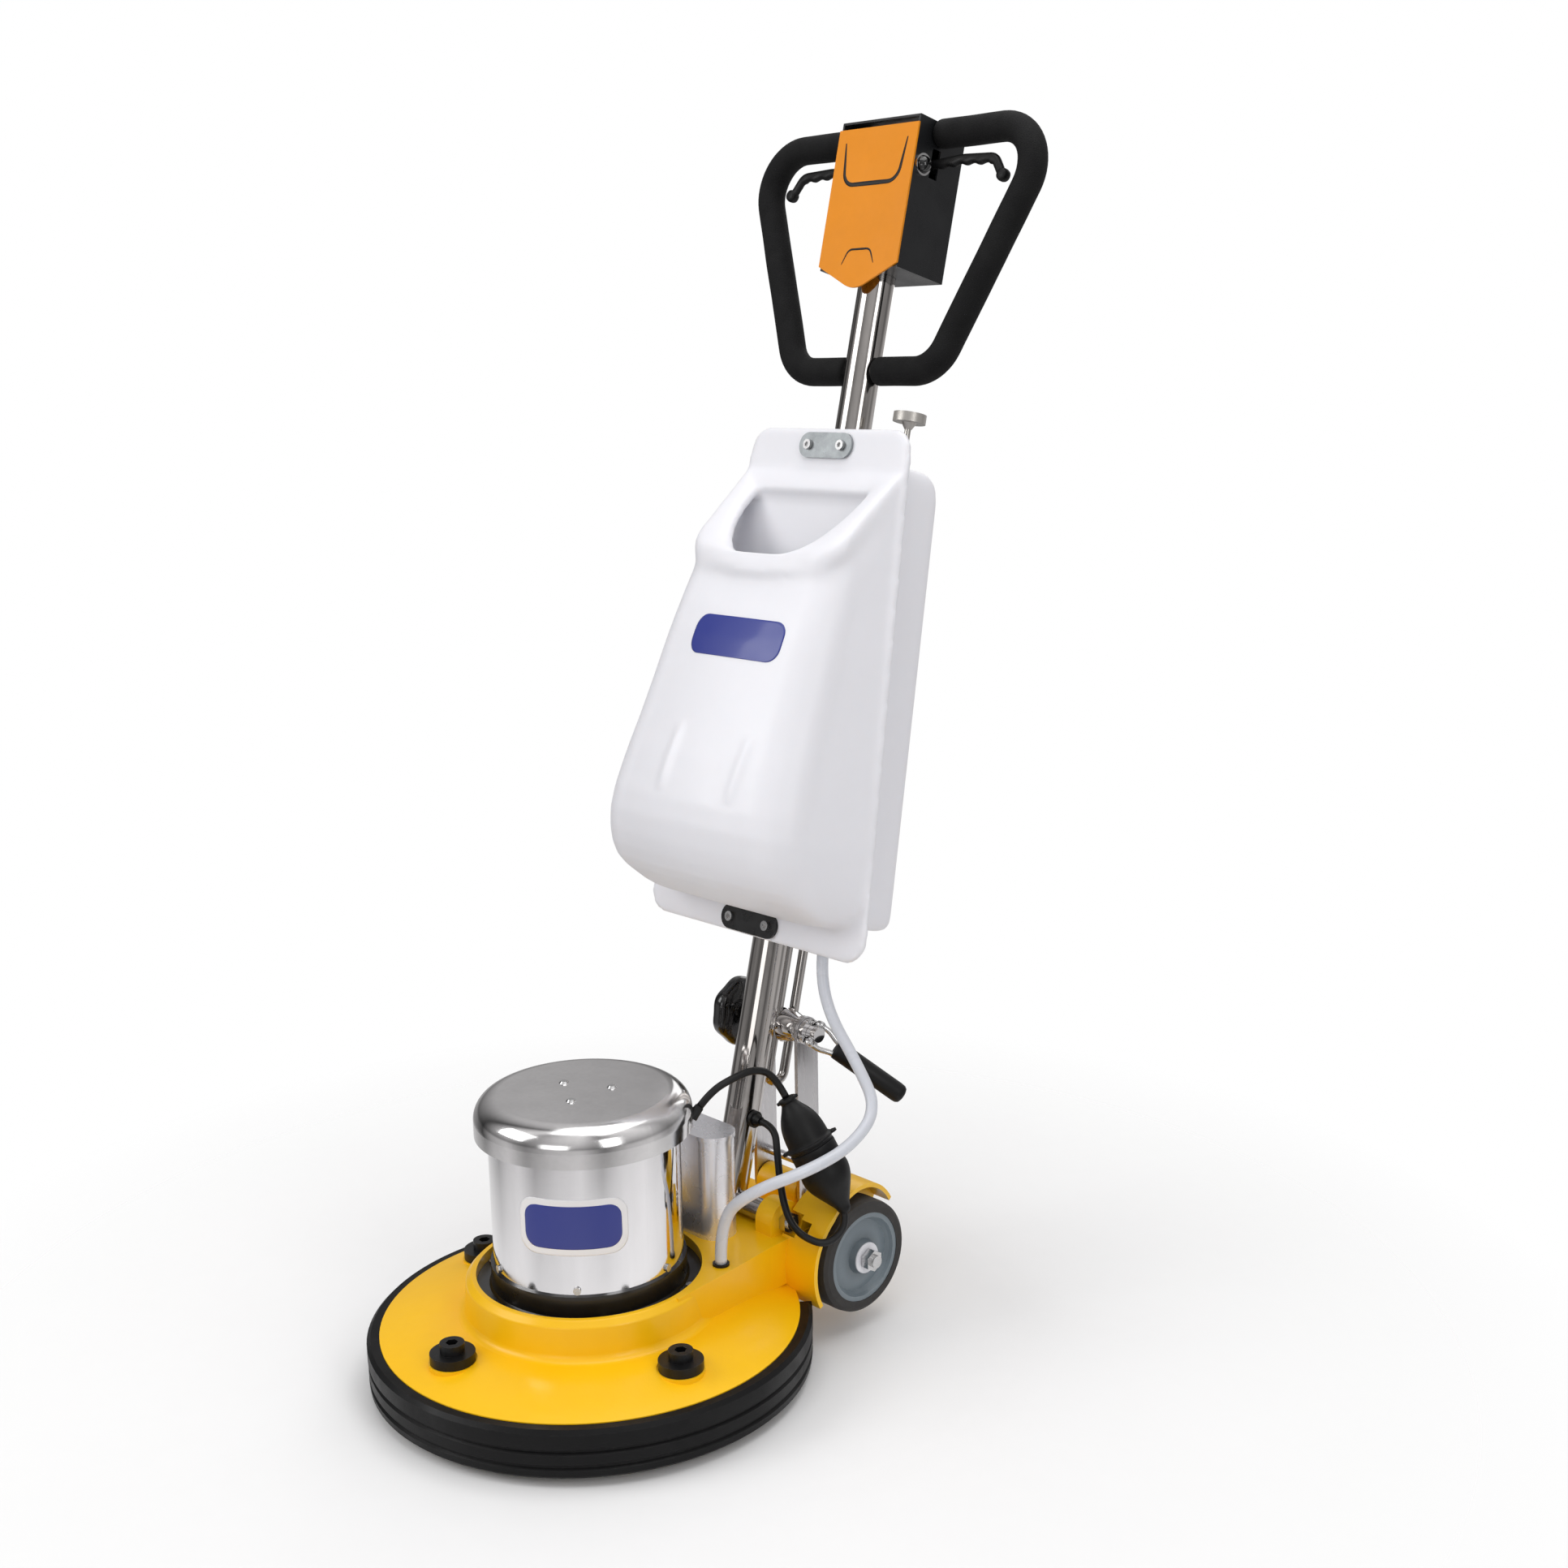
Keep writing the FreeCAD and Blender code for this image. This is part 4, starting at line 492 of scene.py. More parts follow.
def make_materials():
    """Every finish of the machine, by its key."""
    made = {}

    def add(key, *args, **options):
        made[key] = surface(key, *args, **options).material

    def metal(key, red, green, blue, rough, **options):
        add(key, (red, green, blue, 1), rough, metal=1.0, **options)

    steel_edge = ((0.75, 0.75, 0.76, 1), 0.6, 0.0008)
    bright_edge = ((0.9, 0.9, 0.9, 1), 0.5, 0.001)
    add("yellow_paint", linear(255, 196, 4), 0.36, vary=0.035, tone=7, swing=0.06, smear=14,
        grain=(420.0, 0.00012), wave=(55.0, 0.00025), wear=(linear(255, 214, 70), 0.55, 0.0016),
        coat=0.16, coat_rough=0.16, specular=0.4)
    add("orange_paint", linear(232, 142, 12), 0.42, vary=0.04, tone=12, grain=(1500.0, 0.00005),
        wear=(linear(120, 80, 30), 0.5, 0.0008), specular=0.3)
    add("black_paint", linear(26, 27, 29), 0.3, vary=0.14, tone=10, swing=0.07,
        wear=(linear(90, 92, 96), 0.35, 0.0009), coat=0.15, coat_rough=0.12, specular=0.4)
    add("bumper_rubber", linear(9, 9, 10), 0.44, vary=0.25, tone=14, swing=0.1, smear=20,
        grain=(700.0, 0.00012), wave=(40.0, 0.0003), wear=(linear(46, 45, 44), 0.5, 0.002), specular=0.2)
    add("cord_rubber", linear(12, 12, 13), 0.42, vary=0.2, tone=30, swing=0.08, grain=(1600.0, 0.00005),
        specular=0.35)
    add("moulded_rubber", linear(8, 8, 9), 0.48, vary=0.2, tone=25, swing=0.08,
        grain=(1100.0, 0.00008), wear=(linear(44, 44, 46), 0.4, 0.0012), specular=0.3)
    add("black_plastic", linear(12, 12, 13), 0.4, vary=0.15, tone=25, swing=0.08,
        grain=(1300.0, 0.00006), wear=(linear(64, 62, 60), 0.5, 0.0012), specular=0.35)
    add("gloss_plastic", linear(10, 10, 11), 0.16, vary=0.15, tone=20, swing=0.05,
        grain=(700.0, 0.00002), wear=(linear(60, 60, 60), 0.3, 0.001), coat=0.5, coat_rough=0.05)
    add("tank_plastic", linear(240, 240, 245), 0.4, vary=0.01, tone=9, swing=0.05, smear=12,
        grain=(800.0, 0.00005), wave=(26.0, 0.0004), soft=0.25, soft_reach=0.006)
    add("hose_plastic", linear(214, 217, 224), 0.3, vary=0.03, tone=20, swing=0.08,
        grain=(600.0, 0.00003), soft=0.4, soft_reach=0.004, coat=0.3, coat_rough=0.15)
    metal("polished", 0.80, 0.79, 0.79, 0.07, vary=0.03, tone=9,
        tone_stretch=0.25, swing=0.035, smear=22, smear_stretch=0.3,
        grain=(300.0, 0.000004), wave=(11.0, 0.0005), wear=bright_edge)
    metal("tube_steel", 0.50, 0.475, 0.455, 0.1, vary=0.16, tone=26,
        tone_stretch=0.08, swing=0.05, smear=26, smear_stretch=0.2,
        grain=(300.0, 0.000004), wave=(14.0, 0.0006), wear=((0.8, 0.79, 0.78, 1), 0.5, 0.001))
    metal("can_steel", 0.82, 0.81, 0.82, 0.08, vary=0.05, tone=16,
        tone_stretch=0.12, swing=0.05, smear=30, smear_stretch=0.2,
        grain=(300.0, 0.000004), wave=(9.0, 0.0012), wear=bright_edge)
    metal("cap_steel", 0.74, 0.73, 0.73, 0.15, vary=0.07, tone=22, swing=0.07,
        smear=9, grain=(900.0, 0.000012), wave=(8.0, 0.0008), wear=bright_edge)
    metal("stainless", 0.62, 0.61, 0.62, 0.3, vary=0.05, tone=14, swing=0.08,
        smear=200, smear_stretch=0.05, grain=(900.0, 0.00001), wear=steel_edge)
    add("box_paint", (0.84, 0.84, 0.88, 1), 0.27, metal=0.7, vary=0.04, tone=9, swing=0.05,
        grain=(300.0, 0.000004), wave=(9.0, 0.0004), wear=bright_edge)
    metal("capacitor_can", 0.66, 0.67, 0.69, 0.35, swing=0.1)
    metal("motor_steel", 0.38, 0.38, 0.39, 0.45, vary=0.15, swing=0.12,
        wear=steel_edge)
    metal("gear_steel", 0.5, 0.49, 0.47, 0.34, vary=0.12, swing=0.1,
        wear=steel_edge)
    add("valve_brass", (0.48, 0.46, 0.43, 1), 0.4, metal=0.8, vary=0.08, swing=0.1,
        wear=steel_edge)
    add("tyre_rubber", linear(50, 48, 47), 0.72, vary=0.14, tone=22, swing=0.1, smear=30,
        grain=(520.0, 0.0002), wear=(linear(84, 82, 80), 0.5, 0.002))
    metal("bolt_steel", 0.6, 0.6, 0.6, 0.24, vary=0.1, tone=60, swing=0.1,
        wear=((0.88, 0.88, 0.88, 1), 0.7, 0.0008))
    add("dish_black", linear(18, 18, 19), 0.3, vary=0.15, tone=20, coat=0.3, coat_rough=0.12)
    print_grain = (1500.0, 0.00002)
    add("label_blue", linear(46, 58, 142), 0.34, vary=0.02, tone=20, grain=print_grain, coat=0.3)
    add("label_white", linear(244, 244, 246), 0.34, vary=0.01, tone=20, grain=print_grain, coat=0.3)
    add("line_black", linear(8, 8, 8), 0.5, vary=0.1, grain=(1500.0, 0.00003))
    made.update(
        grip_foam=foam_finish(), bristle=bristle_finish(), hub=hub_finish(), plates=plate_finish())
    return made


def foam_finish():
    """Closed-cell foam: near black, matt, with a fine pitted skin."""
    f = surface("grip_foam", linear(10, 10, 11), 0.82, vary=0.25, tone=40, swing=0.08, specular=0.3)
    pits = f.remap(f.cells(700.0), 0.0, 0.55)
    crumbs = f.noise(1400.0, 2.0)
    f.set(Normal=f.height(f.both(pits, crumbs), 0.0005, 0.8))
    return f.material


def bristle_finish():
    """Stiff dark fibres: streaks down each tuft."""
    f = surface("bristle", linear(40, 38, 36), 0.5, vary=0.4, tone=120, tone_stretch=0.04,
                swing=0.1)
    f.set(Normal=f.height(f.noise(900.0, 2.0, 0.03), 0.0012))
    return f.material


def hub_finish():
    """A grey cast wheel disc round a white nylon bush, told apart by the distance from the axle."""
    f = surface("hub", linear(116, 127, 134), 0.4, vary=0.06, tone=14, swing=0.08, coat=0.2,
                wear=(linear(170, 176, 180), 0.5, 0.0015))
    axes = f.axes()
    y = f.maths("SUBTRACT", axes["Y"], WHEEL_AXLE[0])
    z = f.maths("SUBTRACT", axes["Z"], WHEEL_AXLE[1])
    reach = f.maths("SQRT", f.maths("ADD", f.maths("MULTIPLY", y, y), f.maths("MULTIPLY", z, z)))
    bush = f.remap(reach, 0.0176, 0.0172)
    grey = f.shader.inputs["Base Color"].links[0].from_socket
    white = f.mixed(f.remap(f.noise(60.0), 0.3, 0.7), linear(222, 222, 228), linear(240, 240, 244))
    f.set(Base_Color=f.mixed(bush, grey, white))
    # The disc turns darker grey towards the axle, outside the white bush.
    axle_darkening = f.remap(reach, 0.030, 0.018)
    tone = f.shader.inputs["Base Color"].links[0].from_socket
    dark = f.maths("MULTIPLY", f.maths("MULTIPLY", axle_darkening, f.maths("SUBTRACT", 1.0, bush)), 0.4)
    f.set(Base_Color=f.mixed(dark, tone, linear(60, 66, 70)))
    return f.material


def plate_finish():
    """The upper plate is bare galvanised steel, the lower one is painted black."""
    f = surface("plates", (0.33, 0.35, 0.36, 1), 0.36, metal=1.0, vary=0.2, tone=90, swing=0.1,
                wear=((0.7, 0.7, 0.7, 1), 0.4, 0.0006))
    paint = linear(20, 20, 21)
    tone = f.mixed(f.remap(f.noise(40.0, 4.0), 0.3, 0.7), scaled(paint, 0.8), scaled(paint, 1.25))
    gloss = f.remap(f.noise(60.0), 0.3, 0.7, 0.22, 0.38)
    relief = f.height(f.noise(1200.0, 3.0), 0.00008)
    black = f.node("BsdfPrincipled", Base_Color=tone, Roughness=gloss, Normal=relief)
    f.give_way(f.maths("LESS_THAN", f.axes()["Z"], PLATES_APART), black)
    return f.material


NODE_FINISH = {
    "yellow_paint": ("deck_casting",),
    "bumper_rubber": ("bumper_skirt",),
    "black_plastic": ("deck_knobs", "brush_block", "switch_unit", "mains_gland", "hose_spigot",
                      "lead_grommet", "pigtail_gland"),
    "dish_black": ("motor_dish", "lower_end_bell"),
    "motor_steel": ("upper_end_bell", "stator", "rotor_core", "cooling_fan"),
    "can_steel": ("motor_can",),
    "cap_steel": ("motor_cap",),
    "plates": ("tank_plates",),
    "tube_steel": ("column_tube", "clamp_track"),
    "polished": ("clamp_bolt", "handle_loop", "button_ring"),
    "bolt_steel": ("motor_screws", "pivot_pins", "lock_nuts", "column_bolts"),
    "gear_steel": ("motor_shaft", "motor_bearings", "gear_case", "planet_gear_a", "planet_gear_b",
                   "planet_gear_c", "planet_carrier", "drive_plate"),
    "box_paint": ("capacitor_box",),
    "capacitor_can": ("capacitors",),
    "stainless": ("struts",),
    "black_paint": ("control_case", "rear_cover"),
    "orange_paint": ("front_plate",),
    "gloss_plastic": ("safety_button",),
    "valve_brass": ("tank_valve", "valve_rod"),
    "tyre_rubber": ("tyre_right", "tyre_left"),
    "hub": ("wheel_hub_right", "wheel_hub_left"),
}


def dress_nodes(made):
    """The CAD nodes that stay visible, or that a piece stands for, get their finishes."""
    for key, names in NODE_FINISH.items():
        for name in names:
            for slot in NODES[name].material_slots:
                slot.link = "OBJECT"
                slot.material = made[key]


# ---- Cords ----

# Control points of each cord's route, in millimetres in the row frame, and radii in metres.
LEAD_RADIUS = 0.004
HOSE_RADIUS = 0.0064
PIGTAIL = ((74.6, 95.3, 287), (79.6, 107.7, 301.8), (86, 131, 311), (90, 160, 315), (91.3, 187, 301.6),
           (103, 192.8, 277.4))
LEAD = ((33, 220.8, 221.7), (55, 220.8, 221.7), (74, 206, 200), (90, 194, 176), (106, 185, 155),
        (122, 179.5, 142), (143, 177.5, 134), (161.5, 195.5, 124), (166.8, 224.5, 145.4),
        (154, 218.2, 171.8))
HOSE = ((80, 277.45, 430), (80, 270.1, 401), (94, 267, 352), (138, 267, 303), (171, 263, 262),
        (174, 220, 234), (164, 166, 220), (136, 110, 206), (101, 96, 170), (101, 96, 119.5))


def cord_line(points):
    """The smooth line of a NURBS curve whose control points are the cord's route."""
    curve = bpy.data.curves.new("route", "CURVE")
    curve.dimensions = "3D"
    curve.resolution_u = 16
    spline = curve.splines.new("NURBS")
    spline.points.add(len(points) - 1)
    for target, point in zip(spline.points, points):
        target.co = (*(c * MM for c in point), 1.0)
    spline.order_u = 3
    spline.use_endpoint_u = True
    holder = placed("route", curve)
    bpy.context.view_layer.update()
    mesh = bpy.data.meshes.new_from_object(holder)
    line = [v.co.copy() for v in mesh.vertices]
    bpy.data.objects.remove(holder)
    bpy.data.curves.remove(curve)
    return line


def cord_piece(made, name, line, radius, body, finish, node, sides=20, step=0.003):
    """A mesh tube along a cord's line."""
    bm = bmesh.new()
    tube(bm, line, radius, sides, step)
    return piece(name, bm, body, made[finish], (node,))


def make_cords(made):
    """The motor's cord, the column's lead and the solution hose, each along its own route."""
    line = cord_line(PIGTAIL)
    pigtail = cord_piece(made, "motor_cord", line, LEAD_RADIUS, "base", "cord_rubber", "motor_pigtail")
    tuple(line[0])

    line = cord_line(LEAD)
    lead = cord_piece(made, "socket_lead", line, LEAD_RADIUS, None, "cord_rubber", "column_lead")
    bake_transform(lead)
    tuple(line[0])

    line = cord_line(HOSE)
    hose = cord_piece(
        made, "solution_hose", line, HOSE_RADIUS, None, "hose_plastic", "tank_hose", 28, 0.004)
    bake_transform(hose)
    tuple(line[0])


PLUG_TOP = upright(103, 192.8, 277.4)
SOCKET_END = upright(154, 218.2, 171.8)
EAR_FACE = Vector((0.72, -0.67, 0.2))  # the ears stand square to this direction
# Each pair of ears: its distance along the coupling, reach, length, width and half thickness.
EARS = ((54.8, 26.6, 5.4, 6.0, 1.5), (3.4, 10, 2.4, 2.4, 1.6))
# Turned boots: radius, and distance from the plug's top.
PLUG_PROFILE = ((6.2, 0.2), (9.4, 1.0), (10.4, 2.2), (10.2, 4.4), (8.9, 6.2), (9.6, 8.5), (12.6, 13.5),
                (17, 20.5), (20.8, 29), (22.8, 38), (23.6, 46), (24, 51.6), (26.4, 53.6), (26.9, 55),
                (26.4, 56.6), (25, 57.6), (24.8, 59.8))
SOCKET_PROFILE = ((24.6, 60.1), (25.4, 60.6), (25.6, 64), (25.6, 72), (26, 80), (26.6, 86), (27, 91),
                  (26.2, 97), (24, 104), (19.8, 112), (15, 120), (10.8, 127), (8.2, 132), (7.3, 136),
                  (5.0, 139.5))


def make_coupling(made):
    """The plug and the socket of the motor's cord: two moulded boots, with ears on the plug."""
    axis = (SOCKET_END - PLUG_TOP).normalized()
    boots = []
    for name, profile, node in (("plug_boot", PLUG_PROFILE, "inline_plug"),
                                ("socket_boot", SOCKET_PROFILE, "inline_socket")):
        bm = bmesh.new()
        lathe(bm, smooth_profile(profile, 3), PLUG_TOP, axis, 72)
        if node == "inline_plug":
            plug_ears(bm, axis)
        boots.append(piece(name, bm, "base", made["moulded_rubber"], (node,)))
    return boots


def plug_ears(bm, axis):
    """Flat oval ears on both sides of the plug, on its flange and at its top."""
    ear = axis.cross(EAR_FACE).normalized()
    rest = axis.cross(ear)
    for side in (1, -1):
        for at, reach, long, wide, thick in EARS:
            middle = PLUG_TOP + (axis * at + ear * side * reach) * MM
            rings = []
            for depth, scale in ((-thick, 0.8), (-0.8 * thick, 1.0), (0.8 * thick, 1.0), (thick, 0.8)):
                rings.append([
                    middle + (axis * depth + ear * math.cos(a) * long * scale
                              + rest * math.sin(a) * wide * scale) * MM for a in turns(20)])
            loft(bm, rings)


# ---- Solution tank ----

# The cup's wall by height up the column: height, depth in front of the flange, corner radius, pull-in.
TANK_DEPTH = ((346, 34, 30, 30), (352, 50, 36, 22), (361, 70, 45, 13), (370, 90, 48, 8),
              (380, 106, 50, 4), (400, 121, 51, 0), (427, 129.5, 51, -3), (460, 130, 51, -3),
              (500, 125, 51, -2), (540, 117, 51, -1), (582, 109, 50, -1), (640, 98, 47, -1),
              (680, 88, 44, 0), (705, 82, 42, 0), (722, 81, 40, 0), (742, 86, 37, 0), (834, 90, 34, -1))
RING = (14, 9, 9, 14)  # points of a ring along the back, each side, each round corner and the face
FLANGE_FACE = -36  # backward place of the flange's front, and of its middle
FLANGE_MIDDLE = -34.5
WALL = 7.5  # from the outside to the inside of the cup
INSIDE_DROP = 9
TANK_VOXEL = 0.0032
MOUTH_HALF = 86
MOUTH_DEEP = 107
MOUTH_TOP = Vector((-44, 812))
MOUTH_FALL = 1.27
MOUTH_DOWN = Vector((-0.619, -0.7854))
MOUTH_OUT = Vector((-0.7854, 0.619))


def between(table, at):
    """Linear reading of a table whose first column rises."""
    at = min(max(at, table[0][0]), table[-1][0])
    for low, high in zip(table, table[1:]):
        if at <= high[0]:
            share = (at - low[0]) / (high[0] - low[0])
            return [a + (b - a) * share for a, b in zip(low[1:], high[1:])]
    return list(table[-1][1:])


def flange_half(s):
    """Half the width of the tank's flange at a height, widest at the foot."""
    return 171 - (s - 345) * 50 / 517


def ring_point(i, s, inset):
    """Across and backward place of point i of the tank's wall at a height, pulled in by inset."""
    depth, corner, pull = between(TANK_DEPTH, s)
    half = flange_half(s) - 4.5 - inset - pull
    front = FLANGE_FACE - depth + inset
    rear = FLANGE_MIDDLE - inset
    lean = 0.12 * depth
    corner = max(corner - inset * 0.5, 10)
    back, side, turn, face = RING
    if i <= back:
        return Vector((-half + 2 * half * i / back, rear))
    i -= back
    mirror = 1
    total = 2 * (side + turn) + face
    if i > total / 2:
        i = total - i
        mirror = -1
    if i <= side:
        share = i / side
        return Vector((mirror * (half - lean * share), rear + (front + corner - rear) * share))
    i -= side
    if i <= turn:
        angle = math.radians(90 * i / turn)
        x = half - lean - corner + corner * math.cos(angle)
        return Vector((mirror * x, front + corner - corner * math.sin(angle)))
    i -= turn
    reach = half - lean - corner
    x = reach * (1 - i / (face / 2))
    return Vector((mirror * x, front - 0.06 * depth * (1 - (x / reach) ** 2)))


def tank_ring(height, slope, inset, waist=0.0):
    """A ring of the tank's wall in a plane that falls towards the front by slope.

    The waist draws the front of the ring in and leaves its rear edge on the flange.
    """
    back, side, turn, face = RING
    count = back + 2 * (side + turn) + face
    loop = []
    for i in range(count):
        s = height
        for _ in range(4):
            spot = ring_point(i, s, inset)
            s = height + slope * (spot[1] - FLANGE_FACE)
        inward = Vector((0, FLANGE_FACE)) - spot
        share = clamped((-spot[1] - 45) / 50)
        share *= 1 - 0.6 * clamped((abs(spot[0]) - 35) / 55)
        spot += inward.normalized() * waist * share
        loop.append(leaning(spot[0], spot[1], height + slope * (spot[1] - FLANGE_FACE)))
    return loop


def mouth_point(x, t, out=0.0):
    """A point by the filler mouth: across, down the sloping mouth, and proud of it."""
    spot = MOUTH_TOP + MOUTH_DOWN * t + MOUTH_OUT * out
    return leaning(x, spot[0], spot[1])


def mouth_ring(widen, out):
    """The opening's edge, straight along the top and round below."""
    back, side, turn, face = RING
    half = MOUTH_HALF + widen
    loop = [mouth_point(-half + 2 * half * i / back, 5 - widen, out) for i in range(back)]
    rest = 2 * (side + turn) + face
    for i in range(rest):
        angle = math.pi * i / rest
        c, s = math.cos(angle), math.sin(angle)
        x = math.copysign(abs(c) ** 0.9, c) * half
        t = 5 - widen + (MOUTH_DEEP + 2 * widen) * s**0.93
        loop.append(mouth_point(x, t, out))
    return loop


def rounded_outline(corners, radius, steps=8):
    """A closed polygon in a plane with rounded corners."""
    spots = [Vector(c) for c in corners]
    out = []
    for k, corner in enumerate(spots):
        out += arc(spots[k - 1], corner, spots[(k + 1) % len(spots)], radius, steps)
    return out


def tank_cup(bm):
    """The hollow body: up the outside, over the rim and down the inside."""
    planes = ((349, 0), (352, 0), (357, 0), (364, 0), (372, 0), (382, 0), (396, 0), (412, 0), (434, 0),
              (462, 0.03), (496, 0.1), (532, 0.2), (568, 0.31), (604, 0.44), (640, 0.58), (674, 0.72),
              (706, 0.85), (736, 0.97))  # height and slope of each ring, then with a waist round the lip
    lip = ((772, 1.1, 1.5), (786, 1.16, 4.5), (796, 1.2, 6.5), (805, 1.23, 6.0), (812, 1.25, 2.5),
           (818, 1.26, -0.5), (826, MOUTH_FALL, -1.0), (832, MOUTH_FALL, 1.5), (835, MOUTH_FALL, 5.0))
    loops = []
    for k, (height, slope) in enumerate(planes):
        loops.append(tank_ring(height, slope, (8, 3, 0)[k] if k < 3 else 0))
    for height, slope, waist in lip:
        loops.append(tank_ring(height, slope, 0, waist))
    outer = loops[-1]
    inner = mouth_ring(0, 2.0)
    for share, lift in ((0.15, 2.5), (0.35, 3.5), (0.6, 4.0), (0.82, 3.0)):
        rise = (BACK * MOUTH_OUT[0] + UP * MOUTH_OUT[1]) * lift * MM
        loops.append([a.lerp(b, share) + rise * (0.5 if i < RING[0] else 1.0)
                      for i, (a, b) in enumerate(zip(outer, inner))])
    loops.append(inner)
    loops.append(mouth_ring(0.5, -4.0))
    for height, slope, waist in reversed(lip[:5]):
        loops.append(tank_ring(height - INSIDE_DROP, slope, WALL, waist))
    for height, slope in reversed(planes[5:]):
        loops.append(tank_ring(height - INSIDE_DROP, slope, WALL))
    loft(bm, loops)


def tank_flange(bm):
    """The flat plate with round corners behind the cup."""
    low, high = 316, 882
    corners = [(-flange_half(low), low), (flange_half(low), low), (flange_half(high), high),
               (-flange_half(high), high)]
    outline = rounded_outline(corners, 26)
    loops = []
    for w, pull in ((FLANGE_FACE, 0.994), (FLANGE_MIDDLE, 1.0), (-29.5, 1.0), (-28, 0.994)):
        loops.append([leaning(p[0] * pull, w, 600 + (p[1] - 600) * pull) for p in outline])
    loft(bm, loops)


def tank_lobes(bm):
    """The two rear lobes, one each side of the column."""
    stations = ((344.5, 9), (347, 4), (352, 1), (360, 0), (500, 0), (660, 0), (815, 0), (830, 1.5),
                (839, 5), (844, 10), (846, 16))
    for side in (1, -1):
        loops = []
        for s, pull in stations:
            rear = 75 - (s - 350) * 39 / 488 - pull
            corners = [(side * (27 + pull), -31), (side * (113 - pull), -31), (side * (113 - pull), rear),
                       (side * (27 + pull), rear)]
            loops.append([leaning(p[0], p[1], s) for p in rounded_outline(corners, 13)])
        loft(bm, loops)


def tank_relief(mesh):
    """Two shallow upright flutes low on the front, as the mould leaves them."""
    forward = -BACK
    for vertex in mesh.vertices:
        local = vertex.co / MM - FOOT
        x, w, s = local.x, local.dot(BACK), local.dot(UP)
        if w > -118 or not 440 < s < 570:
            continue
        level = max(0.0, 1 - abs((s - 503) / 40) ** 4)
        for centre in (-28, 76):
            d = (x - centre - (s - 505) * 0.08) / 7.5
            vertex.co += forward * (math.exp(-d * d) * level * 2.2 * MM)


def make_tank(made):
    """Cup, flange and lobes blended into one moulded shell."""
    bm = bmesh.new()
    tank_cup(bm)
    tank_flange(bm)
    tank_lobes(bm)
    holder = placed("tank_rough", mesh_of("tank_rough", bm))
    remesh = holder.modifiers.new("blend", "REMESH")
    remesh.mode = "VOXEL"
    remesh.voxel_size = TANK_VOXEL
    soften = holder.modifiers.new("soften", "SMOOTH")
    soften.factor = 0.5
    soften.iterations = 10
    mesh = evaluated(holder, "tank_shell")
    tank_relief(mesh)
    return dressed("tank_shell", mesh, "column", made["tank_plastic"], ("solution_tank",))


# ---- Labels and plate lines ----


TANK_LABEL_AT = (14, 637)  # across, and up the column
CAN_LABEL_AT = (math.radians(-46.7), 204.5)  # direction round the motor, and height
PLATE_FACE = -35.28  # backward place of the front plate's face


def label(name, width, height, corner, place, finish, body):
    """A thin rounded label; place maps across, up and lift in millimetres to a point on the surface."""
    corners = [(-width / 2, -height / 2), (width / 2, -height / 2), (width / 2, height / 2),
               (-width / 2, height / 2)]
    line = [p.to_3d() for p in rounded_outline(corners, corner, 6)]
    line.append(line[0])
    lengths = running(line)
    count = round(lengths[-1] / 2.5)
    outline = [along(line, lengths, lengths[-1] * k / count) for k in range(count)]
    bm = bmesh.new()
    loops = [[place(p[0], p[1], -0.3) for p in outline]]
    for scale in (1.0, 0.97, 0.9, 0.75, 0.6, 0.45, 0.3, 0.15, 0.03):
        loops.append([place(p[0] * scale, p[1] * scale, 0.0 if scale == 1.0 else 0.12) for p in outline])
    loft(bm, loops, capped=False)
    bm.faces.new(list(bm.verts)[-len(outline):])
    piece(name, bm, body, finish)


def make_labels(made, tank):
    """Plain blue labels, one on the tank and one with a white border on the motor."""
    bm = bmesh.new()
    bm.from_mesh(tank.data)
    tree = BVHTree.FromBMesh(bm)
    bm.free()

    def on_tank(x, up, lift):
        start = leaning(TANK_LABEL_AT[0] + x, -300, TANK_LABEL_AT[1] + up)
        hit = tree.ray_cast(start, BACK)[0]
        return hit - BACK * (0.25 + lift) * MM

    def on_can(radius):
        def place(x, up, lift):
            angle = CAN_LABEL_AT[0] + x / 100
            r = radius + lift
            return upright(r * math.cos(angle), r * math.sin(angle), CAN_LABEL_AT[1] + up)
        return place

    label("tank_label", 134, 44, 15, on_tank, made["label_blue"], "column")
    label("can_label_border", 116, 60, 18, on_can(100.2), made["label_white"], "base")
    label("can_label", 102, 46, 14, on_can(100.45), made["label_blue"], "base")


def ribbon(bm, line, width):
    """A thin raised line on the front plate, tapered at its ends."""
    lengths = running(line)
    count = 60
    rows = []
    for k in range(count + 1):
        d = lengths[-1] * k / count
        here = along(line, lengths, d)
        ahead = (along(line, lengths, d + 1.5) - along(line, lengths, d - 1.5)).normalized()
        side = Vector((-ahead.z, 0, ahead.x))
        share = k / count
        half = width * (0.25 + 0.75 * math.sin(math.pi * share) ** 0.8) / 2
        proud = PLATE_FACE - 0.32
        cross = ((half, PLATE_FACE), (half * 0.9, proud), (-half * 0.9, proud), (-half, PLATE_FACE))
        rows.append([leaning(here.x + side.x * h, w, here.z + side.z * h) for h, w in cross])
    loft(bm, rows)


def make_plate_lines(made):
    """Two plain lines on the front plate: a deep one above and a small one below."""
    bm = bmesh.new()
    for spots, corner, width in ((((-46, 1197), (-40, 1150), (40, 1150), (46, 1197)), 16, 5.2),
                                 (((-24, 1062), (-16, 1078), (16, 1078), (24, 1062)), 9, 2.4)):
        ribbon(bm, bent([Vector((x, 0, s)) for x, s in spots], (corner, corner)), width)
    piece("plate_lines", bm, "column", made["line_black"])


# ---- Soft and moulded pieces ----

